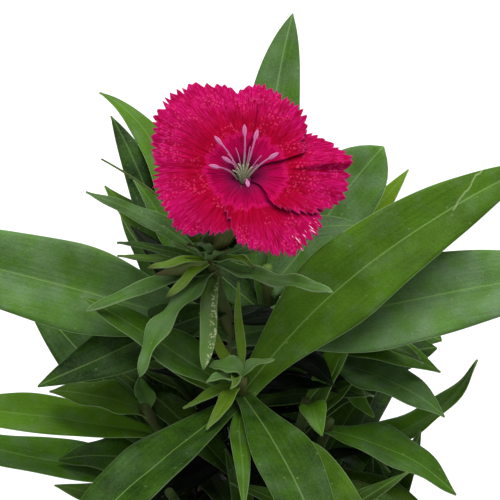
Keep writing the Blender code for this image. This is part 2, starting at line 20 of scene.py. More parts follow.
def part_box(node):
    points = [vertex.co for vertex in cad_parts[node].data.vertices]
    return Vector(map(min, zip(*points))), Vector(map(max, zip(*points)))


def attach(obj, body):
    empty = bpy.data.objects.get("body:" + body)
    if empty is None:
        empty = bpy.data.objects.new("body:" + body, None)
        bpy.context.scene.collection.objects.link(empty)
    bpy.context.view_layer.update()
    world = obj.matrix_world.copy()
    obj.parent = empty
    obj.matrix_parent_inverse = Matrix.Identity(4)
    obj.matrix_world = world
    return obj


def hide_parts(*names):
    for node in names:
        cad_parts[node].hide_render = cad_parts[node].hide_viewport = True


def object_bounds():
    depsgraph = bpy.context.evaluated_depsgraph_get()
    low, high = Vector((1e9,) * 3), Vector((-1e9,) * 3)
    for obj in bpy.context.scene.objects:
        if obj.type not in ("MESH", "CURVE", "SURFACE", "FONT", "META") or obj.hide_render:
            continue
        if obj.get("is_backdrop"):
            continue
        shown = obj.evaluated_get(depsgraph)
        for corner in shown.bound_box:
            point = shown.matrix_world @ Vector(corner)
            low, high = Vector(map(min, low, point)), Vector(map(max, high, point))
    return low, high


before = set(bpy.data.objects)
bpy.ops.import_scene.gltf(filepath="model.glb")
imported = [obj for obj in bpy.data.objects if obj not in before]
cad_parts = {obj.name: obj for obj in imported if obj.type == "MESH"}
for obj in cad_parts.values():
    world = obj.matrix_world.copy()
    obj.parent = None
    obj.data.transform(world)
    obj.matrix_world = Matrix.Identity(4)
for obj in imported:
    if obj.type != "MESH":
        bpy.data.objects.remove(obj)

solid_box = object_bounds()
bpy.ops.object.select_all(action="DESELECT")
print("The solids stand", round(1000 * (solid_box[1].z - solid_box[0].z)), "mm high")

# %% [markdown]
# ## Camera
#
# The plant is seen from the front and from 45 degrees above. A wide lens close by would make the near leaves far too
# large, so a long lens is used, which keeps the leaves nearly parallel. The camera's place follows from the height on
# the plant's axis that it looks at, its distance from there and its angle above the floor.

# %% Camera
MM = 0.001
VIEW_HEIGHT = 0.201
VIEW_DISTANCE = 0.55
VIEW_ANGLE = math.radians(45)
LENS = 188.6
SENSOR_WIDTH = 36
bpy.ops.object.camera_add(
    location=(0, -VIEW_DISTANCE * math.cos(VIEW_ANGLE), VIEW_HEIGHT + VIEW_DISTANCE * math.sin(VIEW_ANGLE)),
    rotation=(math.pi / 2 - VIEW_ANGLE, 0, 0),
)
camera = bpy.context.object
camera.data.lens = LENS
camera.data.sensor_width = SENSOR_WIDTH
bpy.context.scene.camera = camera
bpy.context.scene.view_settings.view_transform = "Standard"
print("The camera stands", round(VIEW_DISTANCE, 2), "m from the plant")

# %% [markdown]
# ## Helpers for every surface
#
# Colours are written as hex values, as a paint chart gives them, and turned to the linear values that shading needs.
# A surface is a chain of small shader nodes, and could be wired by hand. One function that adds a node with its
# settings and its links lets each material below read like a recipe. In a Mix node for colours, socket 0 is the
# share, sockets 6 and 7 are the two colours, and output 2 is the result.


# %% Colours and shader nodes
def hex_colour(code):
    """An sRGB hex value as a linear colour"""
    shares = [int(code[i : i + 2], 16) / 255 for i in (1, 3, 5)]
    return (*[s / 12.92 if s <= 0.04045 else ((s + 0.055) / 1.055) ** 2.4 for s in shares], 1.0)


def node(tree, kind, inputs=None, **settings):
    """Adds a shader node: settings are its own options, inputs its sockets' values or what is linked to them"""
    made = tree.nodes.new("ShaderNode" + kind)
    for name, value in settings.items():
        setattr(made, name, value)
    for name, value in (inputs or {}).items():
        if isinstance(value, bpy.types.NodeSocket):
            tree.links.new(value, made.inputs[name])
        else:
            made.inputs[name].default_value = value
    return made


def new_material(name, **sockets):
    """A material with one Principled shader whose constant sockets are set"""
    made = bpy.data.materials.new(name)
    made.use_nodes = True
    shader = made.node_tree.nodes["Principled BSDF"]
    for socket, value in sockets.items():
        shader.inputs[socket.replace("_", " ")].default_value = value
    return made, made.node_tree, shader


def feed(tree, shader, **sources):
    """Links a node's output to each of the shader's sockets that is named"""
    for socket, source in sources.items():
        tree.links.new(source, shader.inputs[socket.replace("_", " ")])


print("Mid grey #808080 is", round(hex_colour("#808080")[0], 3), "in linear light")

# %% [markdown]
# ## Floor and light
#
# The plant stands on matt white paper. The main soft light hangs high over it, a little behind and to its right, so
# shadows fall toward the viewer and the gaps between the leaves stay dark. A weak second light at the front left and
# an even pale sky open the darkest places a little. Sun or point lamps would draw hard shadows. Area lights are used,
# because a lamp with a size gives soft edges.

# %% Floor and lights
FLOOR_SIZE = 6
FLOOR_DROP = 0.0003  # metres below the pot, so that its base never flickers through the floor
SKY_STRENGTH = 0.43
LIGHTS_AIM = Vector((0, 0, 0.15))
# Each light's name, its place and its size in metres, and its power in watts
LIGHTS = (
    ("key", (0.16, 0.28, 1.35), 1.15, 25.0),
    ("front", (-0.45, -1.10, 1.00), 0.9, 1.5),
)
bpy.ops.mesh.primitive_plane_add(size=FLOOR_SIZE, location=(0, 0, -FLOOR_DROP))
bpy.ops.object.transform_apply(location=True)
floor = bpy.context.object
floor.name = "floor"
# Matt white paper: no highlight, and only a hint of unevenness, about 33 mm across
paper, tree, shader = new_material("matt_white_paper", Base_Color=hex_colour("#f4f4f2"), Roughness=0.9)
place = node(tree, "TexCoord").outputs["Object"]
grain = node(tree, "TexNoise", {"Vector": place, "Scale": 30.0}).outputs["Fac"]
matt = node(tree, "MapRange", {"Value": grain, "To Min": 0.86, "To Max": 0.94}).outputs["Result"]
feed(tree, shader, Roughness=matt)
floor.data.materials.append(paper)
floor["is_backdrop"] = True

world = bpy.data.worlds.new("sky")
bpy.context.scene.world = world
world.use_nodes = True
sky = world.node_tree.nodes["Background"]
sky.inputs["Color"].default_value = hex_colour("#f2f6ff")
sky.inputs["Strength"].default_value = SKY_STRENGTH

for name, place, size, power in LIGHTS:
    bpy.ops.object.light_add(type="AREA", location=place)
    light = bpy.context.object
    light.name = name
    light.data.size = size
    light.data.energy = power
    light.rotation_euler = (LIGHTS_AIM - Vector(place)).to_track_quat("-Z", "Y").to_euler()
print("Lights:", ", ".join(name for name, _, _, _ in LIGHTS))

# %% [markdown]
# ## Where each leaf grows
#
# A dianthus shoot carries its leaves in opposite pairs, each pair turned a quarter from the one below. Leaves could
# be set by hand or strewn by a rule. Both are used: a leaf that is well seen has a line of its own, with where it
# leaves its stem, its angles and its size, and a rule fills in the rest, as in the solid model.
#
# Each leaf also has a look: how light it is, how much grey bloom it carries and how yellow it is, from 0 to about 1.
# Its lightness is partly the leaf's own tone and partly painted light and shade: a leaf that lies in shade is given
# a low value, a lit one a higher.

# %% Sizes of the plant, in millimetres
SOIL_TOP = 77.0
POT_HEIGHT = 85.0
RIM_RADIUS = 47.9
THROAT = Vector((-1.0, 9.0, 214.0))
TUBE_AXIS = Vector((0.24, -0.14, 0.96)).normalized()
FLOWER_NECK = 31.0  # from the throat down to where the flower leaves its stem
print("The flower's throat lies", round(THROAT.z - SOIL_TOP), "mm above the soil")


# %% What is known of one leaf
class Leaf:
    """One leaf: its place on the stem from 0 to 1, its angles, its size, and its look (lightness, bloom, gold)

    Azimuth is the way it points, in degrees round from the right, and rise is its climb at the root. Droop and turn
    say how far it has sunk and swung by its tip, roll tips it about its own length, and blunt rounds its tip.
    Its form is blade, strap for a bract with nearly parallel sides, wavy for a crumpled one, round for a blunt one or
    curl for a young one. Its mark is what its face bears: pale specks, a scratch or a brown tip, or, on the
    undergrowth, the old mark, which is painted shade that darkens it. Swell widens it beyond its solid.
    """

    def __init__(self, height, azimuth, rise, length, width, droop=20, turn=0, roll=0, blunt=2.6, look=None,
                 form="blade", mark="", swell=1.0):
        self.height, self.azimuth, self.rise = height, azimuth, rise
        self.length, self.width = length, width
        self.droop, self.turn, self.roll = droop, turn, roll
        self.blunt, self.look = blunt, look
        self.form, self.mark, self.swell = form, mark, swell


print("A leaf is known by", len(vars(Leaf(0, 0, 0, 1, 1))), "values")

# %% The shoots in the middle and behind it
# Each one's foot at the soil and its tip in millimetres, how many pairs the rule adds, and its own leaves
SHOOTS = {
    "flower_stem": (
        (2, 8),
        tuple(THROAT - FLOWER_NECK * TUBE_AXIS),
        0,
        [
            Leaf(0.80, 183, 22, 94, 20.5, 0, -6, -36, look=(0.62, 0.55, 0.00)),
            Leaf(0.78, 358, 19, 88, 21.5, 8, 2, 32, look=(0.70, 0.72, 0.00)),
            Leaf(0.86, 203, -4, 44.5, 14, 10, 0, -15, look=(0.16, 0.30, 0.00)),
            Leaf(1.00, 150, 21, 32, 5.5, 20, 4, look=(0.34, 0.45, 0.00)),
            Leaf(1.00, 180, 20, 21, 3.2, 10, look=(0.20, 0.20, 0.00)),
            Leaf(0.98, 174, 10, 21, 3.2, 13, look=(0.30, 0.20, 0.10)),
            Leaf(0.97, 203, 10, 30, 6, 24, look=(0.50, 0.50, 0.00), form="strap", swell=0.75),
            Leaf(1.00, 15, 20, 39, 8, 42, -4, look=(0.34, 0.85, 0.00)),
            Leaf(1.00, 328, 12, 30, 7, 5, 6, 10, look=(0.75, 0.65, 0.00), form="wavy", swell=0.62),
            Leaf(0.97, 236, 12, 31, 8, 66, 0, 20, look=(0.75, 0.55, 0.00), form="wavy", swell=0.85),
            Leaf(0.96, 264, 8, 24, 4.5, 55, look=(1.05, 0.70, 0.12), form="strap", mark="specks"),
        ],
    ),
    "shoot_centre": (
        (-1, -4),
        (-2, -8, 170),
        2,
        [
            Leaf(0.93, 46, 33, 84, 19.5, 18, -26, 25, look=(0.45, 0.00, 0.05), mark="scratch"),
            Leaf(0.90, 231, 14, 74, 15.5, 32, 2, 11, look=(0.17, 0.00, 0.00)),
            Leaf(0.93, 292, 12, 64, 14.5, 42, 0, -3, look=(0.22, 0.12, 0.00)),
            Leaf(0.80, 305, 22, 60, 13, 38, -3, 6, look=(0.30, 0.00, 0.05)),
            Leaf(0.92, 160, 40, 41, 11.5, 9, 0, 4, look=(0.42, 0.15, 0.00)),
            Leaf(0.86, 150, 20, 34, 5, 18, 0, 8, look=(0.52, 0.00, 0.12)),
            Leaf(0.90, 268, 20, 36, 4.5, 26, 6, look=(0.34, 0.00, 0.03)),
            Leaf(0.98, 92, 50, 22, 3.6, 10, look=(0.85, 0.10, 0.30), swell=0.62),
            Leaf(0.97, 128, 42, 18, 4, 15, look=(0.90, 0.05, 0.42), swell=0.70),
            Leaf(0.99, 205, 50, 9, 4.5, 70, look=(0.80, 0.60, 0.08), form="curl", swell=0.72),
            Leaf(0.99, 20, 60, 9, 4.5, 80, look=(0.80, 0.60, 0.08), form="curl", swell=0.62),
        ],
    ),
    "shoot_back": (
        (5, 17),
        (4, 30, 166),
        2,
        [
            Leaf(0.80, 94, 54, 75, 15.5, 32, -18, look=(0.46, 0.45, 0.00), form="round", swell=0.86),
            Leaf(0.92, 31, 46, 42.5, 20, 10, 8, 8, 6.0, look=(0.56, 0.55, 0.00)),
            Leaf(0.84, 150, 30, 26, 10, 12, look=(0.12, 0.20, 0.00)),
            Leaf(0.72, 196, 34, 24, 10, 16, look=(0.10, 0.20, 0.00)),
            Leaf(0.75, 34, 46, 52, 10.5, 17, 8, 8, look=(0.72, 0.10, 0.34)),
        ],
    ),
    "shoot_back_left": (
        (-9, 14),
        (-14, 27, 168),
        2,
        [
            Leaf(0.90, 92, 56, 57, 7.5, 58, 48, 4, look=(0.55, 0.10, 0.05), swell=1.35),
            Leaf(0.80, 119, 60, 54, 9.5, 24, 4, look=(0.15, 0.35, 0.00), swell=1.25),
            Leaf(0.90, 131, 45, 34, 9, 29, 2, look=(0.45, 0.15, 0.05)),
            Leaf(0.98, 140, 62, 26, 6.5, 23, look=(0.48, 0.35, 0.00)),
            Leaf(0.70, 118, 41, 43, 11, 28, 6, 8, look=(0.42, 0.20, 0.00)),
        ],
    ),
}
print(len(SHOOTS), "shoots that carry the flower and the tall leaves")

# %% The shoots round them
SHOOTS.update({
    "shoot_left": (
        (-10, 3),
        (-24, 4, 147),
        2,
        [
            Leaf(0.70, 142, 37, 54, 16, 20, -5, -12, look=(0.26, 0.30, 0.00)),
            Leaf(0.95, 176, 36, 24, 9.5, 40, 4, look=(0.44, 0.00, 0.08)),
            Leaf(0.85, 185, 23, 62, 11, 24, 0, -10, look=(0.80, 0.05, 0.08)),
            Leaf(0.65, 185, 12, 66, 12, -12, -5, -4, look=(0.64, 0.20, 0.00)),
            Leaf(0.72, 187, 16, 27, 11.5, 22, 0, -4, look=(0.30, 0.00, 0.00)),
        ],
    ),
    "shoot_front_left": (
        (-9, -8),
        (-18, -15, 140),
        2,
        [
            Leaf(0.62, 152, 8, 38, 10, 25, look=(0.40, 0.15, 0.10)),
        ],
    ),
    "shoot_front_right": (
        (9, -5),
        (18, 1, 146),
        2,
        [
            Leaf(0.78, 317, 15, 48, 13, 33, 0, 5, look=(0.34, 0.05, 0.12)),
            Leaf(0.95, 332, 16, 34, 13, 48, -4, -12, look=(0.42, 0.10, 0.00)),
        ],
    ),
    "shoot_young": (
        (6, 0),
        (13, 2, 152),
        0,
        [
            Leaf(0.97, 285, 50, 14, 6.5, 80, look=(0.72, 0.10, 0.05)),
            Leaf(0.85, 35, 62, 31, 6.5, 8, look=(0.66, 0.15, 0.05)),
            Leaf(0.85, 38, 30, 16, 5, 25, look=(0.36, 0.10, 0.10)),
            Leaf(0.80, 50, 30, 26, 5.5, 80, -20, look=(0.38, 0.20, 0.05)),
        ],
    ),
    "shoot_right": (
        (12, 8),
        (19, 19, 153),
        2,
        [
            Leaf(0.60, 358, 0, 49, 10.5, -78, 20, -12, look=(0.46, 0.05, 0.02)),
            Leaf(0.92, 319, 28, 34.5, 11.5, 42, 0, 4, look=(0.50, 0.60, 0.00)),
            Leaf(0.95, 342, 44, 30, 6.5, 35, -40, -8, look=(0.50, 0.30, 0.05)),
        ],
    ),
    "shoot_far_right": (
        (9, 21),
        (20, 42, 138),
        4,
        [Leaf(0.97, 336, 22, 28.5, 12.5, 26, 0, 0, 6.0, look=(0.3, 0.35, 0))],
    ),
    "shoot_far_back": ((-3, 22), (-6, 48, 138), 4, [Leaf(0.90, 36, 50, 24, 9, 12, look=(0.1, 0.2, 0))]),
    "shoot_far_left": ((-15, 9), (-27, 34, 136), 4, []),
    "shoot_front": ((1, -12), (5, -35, 134), 4, []),
    "shoot_low_right": ((13, -10), (30, -26, 130), 4, [Leaf(0.90, 87, 30, 26, 9, 26, look=(0.1, 0.1, 0))]),
})
print(len(SHOOTS), "shoots with", sum(len(leaves) for _, _, _, leaves in SHOOTS.values()), "leaves of their own")

# %% [markdown]
# ## How a leaf bends
#
# A leaf leaves its stem at an angle and arches over, so its midrib is a curve. It could be a curve object with a
# bevel, but then its width and its fold are hard to steer. Here the midrib is walked in short steps, and each row of
# the blade gets its own place, directions, width and fold. The same numbers grew the solids, so each fine leaf lands
# on its solid.

# %% The shape of a blade along its length
LEAF_WIDTH_SHARE = 1.8  # a listed width is as seen, so a folded blade's two halves are wider together
LEAF_ROOT = 0.28  # the half width at the root, as a share of the widest
LEAF_WIDEST = 0.42  # where along it a leaf is widest
LEAF_TIP = 0.35  # no row is narrower, in millimetres
LEAF_FOLD = 20.0  # degrees
STEM_BEND_AT = 0.55  # a stem climbs upright for this share of its height before it leans out


def half_width(along, blunt):
    """A lance-shaped blade's half width as a share of its widest, from 0 at the root to 1 at the tip"""
    rise = min(along / LEAF_WIDEST, 1.0)
    swell = LEAF_ROOT + (1 - LEAF_ROOT) * rise * rise * (3 - 2 * rise)
    return swell * (1 - along**blunt) ** 0.9


def heading(leaf, along):
    """The way the blade points at a share of its length"""
    azimuth = math.radians(leaf.azimuth + leaf.turn * along)
    rise = math.radians(leaf.rise - leaf.droop * along**1.3)
    return azimuth, Vector((math.cos(azimuth) * math.cos(rise), math.sin(azimuth) * math.cos(rise), math.sin(rise)))


def leaf_frames(leaf, root, rows):
    """For each row of the blade: its place, the way to its side, the way up, its half width and its fold"""
    place, made = root.copy(), []
    for i in range(rows + 1):
        along = i / rows
        azimuth, ahead = heading(leaf, along)
        level = Vector((-math.sin(azimuth), math.cos(azimuth), 0))
        roll = math.radians(leaf.roll)
        side = level * math.cos(roll) + ahead.cross(level) * math.sin(roll)
        width = max(LEAF_TIP, leaf.width / LEAF_WIDTH_SHARE * half_width(along, leaf.blunt))
        fold = math.radians(LEAF_FOLD * (1.3 - 0.8 * along))  # it opens toward the tip
        made.append((place, side, ahead.cross(side), width, fold))
        place = place + heading(leaf, (i + 0.5) / rows)[1] * leaf.length / rows
    return made


def stem_point(shoot, height):
    """A point of a shoot's stem, from 0 at the soil to 1 at its end"""
    foot, tip, _, _ = SHOOTS[shoot]
    low, end = Vector((foot[0], foot[1], SOIL_TOP)), Vector(tip)
    bend = low + Vector((0, 0, STEM_BEND_AT * (end.z - low.z)))
    rest = 1 - height
    return rest * rest * low + 2 * height * rest * bend + height * height * end


print("The flower's stem ends", round(stem_point("flower_stem", 1.0).z - SOIL_TOP), "mm above the soil")

# %% [markdown]
# ## Keeping the leaves apart
#
# Leaves in a tuft push each other aside and never run through one another. The pushing could be simulated, or small
# lifts and turns could be tried until a leaf is free. The second way is simple and gives the same plant every time.
# Each leaf is tested as a plain flat-sided blade, with a little air round it, against all that has grown before it.


# %% A leaf's plain solid
def plain_rows(leaf):
    """How many rows a leaf's plain blade has"""
    return 7 if leaf.length > 70 else 5 if leaf.length > 50 else 4


def row_points(row):
    """One margin, the midrib and the other margin of one row of a blade"""
    place, side, up, width, fold = row
    return [place + width * (v * math.cos(fold) * side + abs(v) * math.sin(fold) * up) for v in (1, 0, -1)]


def plain_blade(frames, thickness):
    """The points and faces of a flat-sided blade"""
    points, faces = [], []
    for row in frames:
        edges, half = row_points(row), row[2] * thickness / 2
        points += [edge + half for edge in edges] + [edge - half for edge in edges]
    for i in range(len(frames) - 1):
        near, far = 6 * i, 6 * (i + 1)
        for j in (0, 1):
            a, b, c, d = near + j, near + j + 1, far + j + 1, far + j
            split = ((a, b, c), (a, c, d)) if j == 0 else ((a, b, d), (b, c, d))
            faces += split
            faces += [tuple(index + 3 for index in reversed(face)) for face in split]
        faces += [(near, far, far + 3), (near, far + 3, near + 3)]
        faces += [(near + 2, near + 5, far + 5), (near + 2, far + 5, far + 2)]
    last = 6 * (len(frames) - 1)
    faces += [(0, 3, 4, 1), (1, 4, 5, 2)]
    faces += [(last, last + 1, last + 4, last + 3), (last + 1, last + 2, last + 5, last + 4)]
    return points, faces


print("A long leaf's plain solid has", plain_rows(Leaf(0, 0, 0, 90, 20)), "rows")

# %% A stem's plain solid
STEM_DEPTH = 15.0
STEM_SIDES = 6
STEM_STEPS = 5
STEM_FOOT_RADIUS = 1.6
STEM_TIP_RADIUS = 1.15


def sideways(ahead):
    """A way across a tube that runs ahead"""
    side = Vector((0, 1, 0)).cross(ahead)
    nearly_along_y = side.length < 0.2
    return (Vector((1, 0, 0)).cross(ahead) if nearly_along_y else side).normalized()


def plain_stem(shoot):
    """The points and faces of a flat-sided stem"""
    foot = SHOOTS[shoot][0]
    centres = [Vector((foot[0], foot[1], SOIL_TOP - STEM_DEPTH)), Vector((foot[0], foot[1], SOIL_TOP))]
    radii = [STEM_FOOT_RADIUS, STEM_FOOT_RADIUS]
    for k in range(1, STEM_STEPS + 1):
        centres.append(stem_point(shoot, k / STEM_STEPS))
        radii.append(STEM_FOOT_RADIUS + (STEM_TIP_RADIUS - STEM_FOOT_RADIUS) * k / STEM_STEPS)
    points, faces = [], []
    for i, centre in enumerate(centres):
        ahead = (centres[min(i + 1, len(centres) - 1)] - centres[max(i - 1, 0)]).normalized()
        side = sideways(ahead)
        other = ahead.cross(side)
        for k in range(STEM_SIDES):
            angle = math.tau * k / STEM_SIDES
            point = centre + radii[i] * (math.cos(angle) * side + math.sin(angle) * other)
            points.append((point * MM) / MM)  # rounded as the solid's points are, which are kept in metres
    for i in range(len(centres) - 1):
        for k in range(STEM_SIDES):
            low, high, nxt = i * STEM_SIDES, (i + 1) * STEM_SIDES, (k + 1) % STEM_SIDES
            faces.append((low + k, low + nxt, high + nxt))
            faces.append((low + k, high + nxt, high + k))
    first = tuple(reversed(range(STEM_SIDES)))
    last = tuple(range((len(centres) - 1) * STEM_SIDES, len(centres) * STEM_SIDES))
    return points, faces + [first, last]


def surface(points, faces):
    """A search tree of a closed shape, to test what crosses it"""
    return BVHTree.FromPolygons([tuple(p) for p in points], faces)


print("A plain stem has", len(plain_stem("flower_stem")[1]), "faces")

# %% All that has grown so far
TUFT_FRONT = -24.0  # millimetres in front of the pot's middle, from where the tuft widens


def has_room(frames, widest):
    """Whether a leaf is clear of the soil and the pot's rim and inside the tuft, which widens to the front"""
    for row in frames:
        for point in row_points(row):
            if math.hypot(point.x, point.y) < RIM_RADIUS + 2 and point.z < POT_HEIGHT + 1.5:
                return False
            if abs(point.x) > widest + max(0.0, TUFT_FRONT - point.y):
                return False
    return True


class Thicket:
    """All the stems and leaves that have grown so far, shoot by shoot"""

    def __init__(self):
        self.whole, self.outer = [], []

    def add(self, shoot, points, faces, outer_faces):
        """Takes in a stem, which has no outer faces, or a leaf"""
        self.whole.append((shoot, surface(points, faces)))
        if outer_faces:
            self.outer.append((shoot, surface(points, outer_faces)))

    def crossed(self, shoot, points, faces, outer_faces):
        """Whether a blade would cross another shoot anywhere, or its own shoot beyond its root"""
        tree = surface(points, faces)
        if any(tree.overlap(other) for owner, other in self.whole if owner != shoot):
            return True
        tip = surface(points, outer_faces)
        return any(tip.overlap(other) for owner, other in self.outer if owner == shoot)


thicket = Thicket()
for shoot in SHOOTS:
    thicket.add(shoot, *plain_stem(shoot), [])
print(len(thicket.whole), "stems stand before the first leaf grows")

# %% Growing a leaf clear of the others
LEAF_THICKNESS = 0.75
LEAF_CLEARANCE = 0.4  # the air kept on each side of a new leaf
ROOT_POINTS = 12  # a blade's first two rows, where it may touch its own shoot
# Every lift and turn in degrees that a leaf may try, the smallest first
NUDGES = sorted(
    ((lift, swing) for lift in range(-32, 33, 2) for swing in range(-32, 33, 4)),
    key=lambda nudge: abs(nudge[0]) + 0.8 * abs(nudge[1]),
)


def grow(thicket, shoot, leaf, widest):
    """The leaf as it comes to lie and its root, or None where there is no room"""
    for lift, swing in NUDGES:
        moved = Leaf(leaf.height, leaf.azimuth + swing, leaf.rise + lift, leaf.length, leaf.width, leaf.droop,
                     leaf.turn, leaf.roll, leaf.blunt, leaf.look, leaf.form, leaf.mark, leaf.swell)
        outward = Vector((math.cos(math.radians(moved.azimuth)), math.sin(math.radians(moved.azimuth)), 0))
        root = stem_point(shoot, leaf.height) + 0.2 * outward
        frames = leaf_frames(moved, root, plain_rows(leaf))
        if not has_room(frames, widest):
            continue
        points, faces = plain_blade(frames, LEAF_THICKNESS + 2 * LEAF_CLEARANCE)
        outer_faces = [face for face in faces if min(face) >= ROOT_POINTS]
        if not thicket.crossed(shoot, points, faces, outer_faces):
            thicket.add(shoot, plain_blade(frames, LEAF_THICKNESS)[0], faces, outer_faces)
            return moved, root
    return None


print("A leaf may try", len(NUDGES), "small moves")

# %% Opposite pairs by a rule
FILL_HEIGHTS = (0.34, 0.54, 0.76, 0.95)
FILL_SEED = 11
LONGEST_REACH = 110.0
TUFT_HALF_WIDTH = 40.0


def fill_pairs(rng, shoot):
    """Opposite pairs of leaves, each pair turned a quarter from the one below, shorter toward the tip"""
    _, tip, pairs, _ = SHOOTS[shoot]
    outward = math.degrees(math.atan2(tip[1], tip[0]))
    leaves = []
    for number, height in enumerate(FILL_HEIGHTS[:pairs]):
        across = outward + 90 * (number % 2) + rng.uniform(-12, 12)
        # About 58 mm long up to half height and 46 mm at the head, and steeper the higher and the farther inward
        length = (58 - 26 * max(0.0, height - 0.5)) * rng.uniform(0.85, 1.1)
        for side in (0, 180):
            facing = math.cos(math.radians(across + side - outward))
            rise = 20 + 26 * height - 12 * facing + rng.uniform(-6, 6)
            reach = length * (0.85 + 0.15 * facing)
            leaves.append(Leaf(height, across + side, rise, reach, 0.2 * reach, rng.uniform(22, 42),
                               rng.uniform(-8, 8), rng.uniform(-10, 10)))
    return leaves


orders = [(shoot, leaf, LONGEST_REACH) for shoot, (_, _, _, leaves) in SHOOTS.items() for leaf in leaves]
rng = random.Random(FILL_SEED)
for shoot in SHOOTS:
    orders += [(shoot, leaf, TUFT_HALF_WIDTH) for leaf in fill_pairs(rng, shoot)]
print(len(orders), "leaves ask for room")

# %% Every leaf finds its place
grown = {shoot: [] for shoot in SHOOTS}
for shoot, leaf, widest in orders:
    found = grow(thicket, shoot, leaf, widest)
    if found:
        grown[shoot].append(found)
print(sum(len(leaves) for leaves in grown.values()), "leaves found room")
stray = 0.0
for shoot, leaves in grown.items():
    low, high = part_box(shoot)
    for leaf, root in leaves:
        tip = leaf_frames(leaf, root, plain_rows(leaf))[-1][0] * MM
        stray = max(stray, *(max(low[k] - tip[k], tip[k] - high[k]) for k in range(3)))
print("The farthest a leaf's tip lies outside its solid's box is", round(1000 * stray, 2), "mm")

# %% [markdown]
# ## Undergrowth and scales
#
# Low in the tuft grow short old leaves that hardly see light. The solids leave them out. A dark block inside the tuft
# would close the gaps too, but it would show from the side, so real leaves are grown: the eye then meets darkness
# between the shoots, and not the floor behind the plant. Their very low lightness and their old mark paint shade on
# them, which makes them nearly black. They are strewn by a rule, since none is seen well.

# %% Undergrowth
UNDERGROWTH_EACH = 9
UNDERGROWTH_HALF_WIDTH = 27.0
UNDERGROWTH_SEED = 4
# The shoots at the back also carry them higher up, pointing to the sides
TALL_UNDERGROWTH = {
    "flower_stem": 8,
    "shoot_back": 12,
    "shoot_back_left": 9,
    "shoot_far_back": 14,
    "shoot_far_left": 5,
    "shoot_far_right": 8,
}
rng = random.Random(UNDERGROWTH_SEED)
before = sum(len(leaves) for leaves in grown.values())
for shoot in SHOOTS:
    for k in range(UNDERGROWTH_EACH + TALL_UNDERGROWTH.get(shoot, 0)):
        length = rng.uniform(20, 36)
        tall = k >= UNDERGROWTH_EACH
        height = rng.uniform(0.50, 0.82) if tall else rng.uniform(0.10, 0.50)
        azimuth = rng.choice((0, 180)) + rng.uniform(-45, 45) if tall else rng.uniform(0, 360)
        # The undergrowth's low lightness and its old mark are painted shade, which makes it nearly black
        leaf = Leaf(height, azimuth, rng.uniform(5, 40), length, 0.26 * length, rng.uniform(10, 40),
                    rng.uniform(-8, 8), rng.uniform(-12, 12), look=(rng.uniform(0, 0.10), 0.0, 0.0), mark="old")
        found = grow(thicket, shoot, leaf, UNDERGROWTH_HALF_WIDTH)
        if found:
            grown[shoot].append(found)
print(sum(len(leaves) for leaves in grown.values()) - before, "leaves of undergrowth")

# %% [markdown]
# Short bract scales with brown tips crowd round the flower's neck and the bud. Small young leaves, some still curled,
# stand at the heads of four shoots. All are too small for the solids, so they grow straight from their stems here,
# each with a line of its own, because they are well seen.

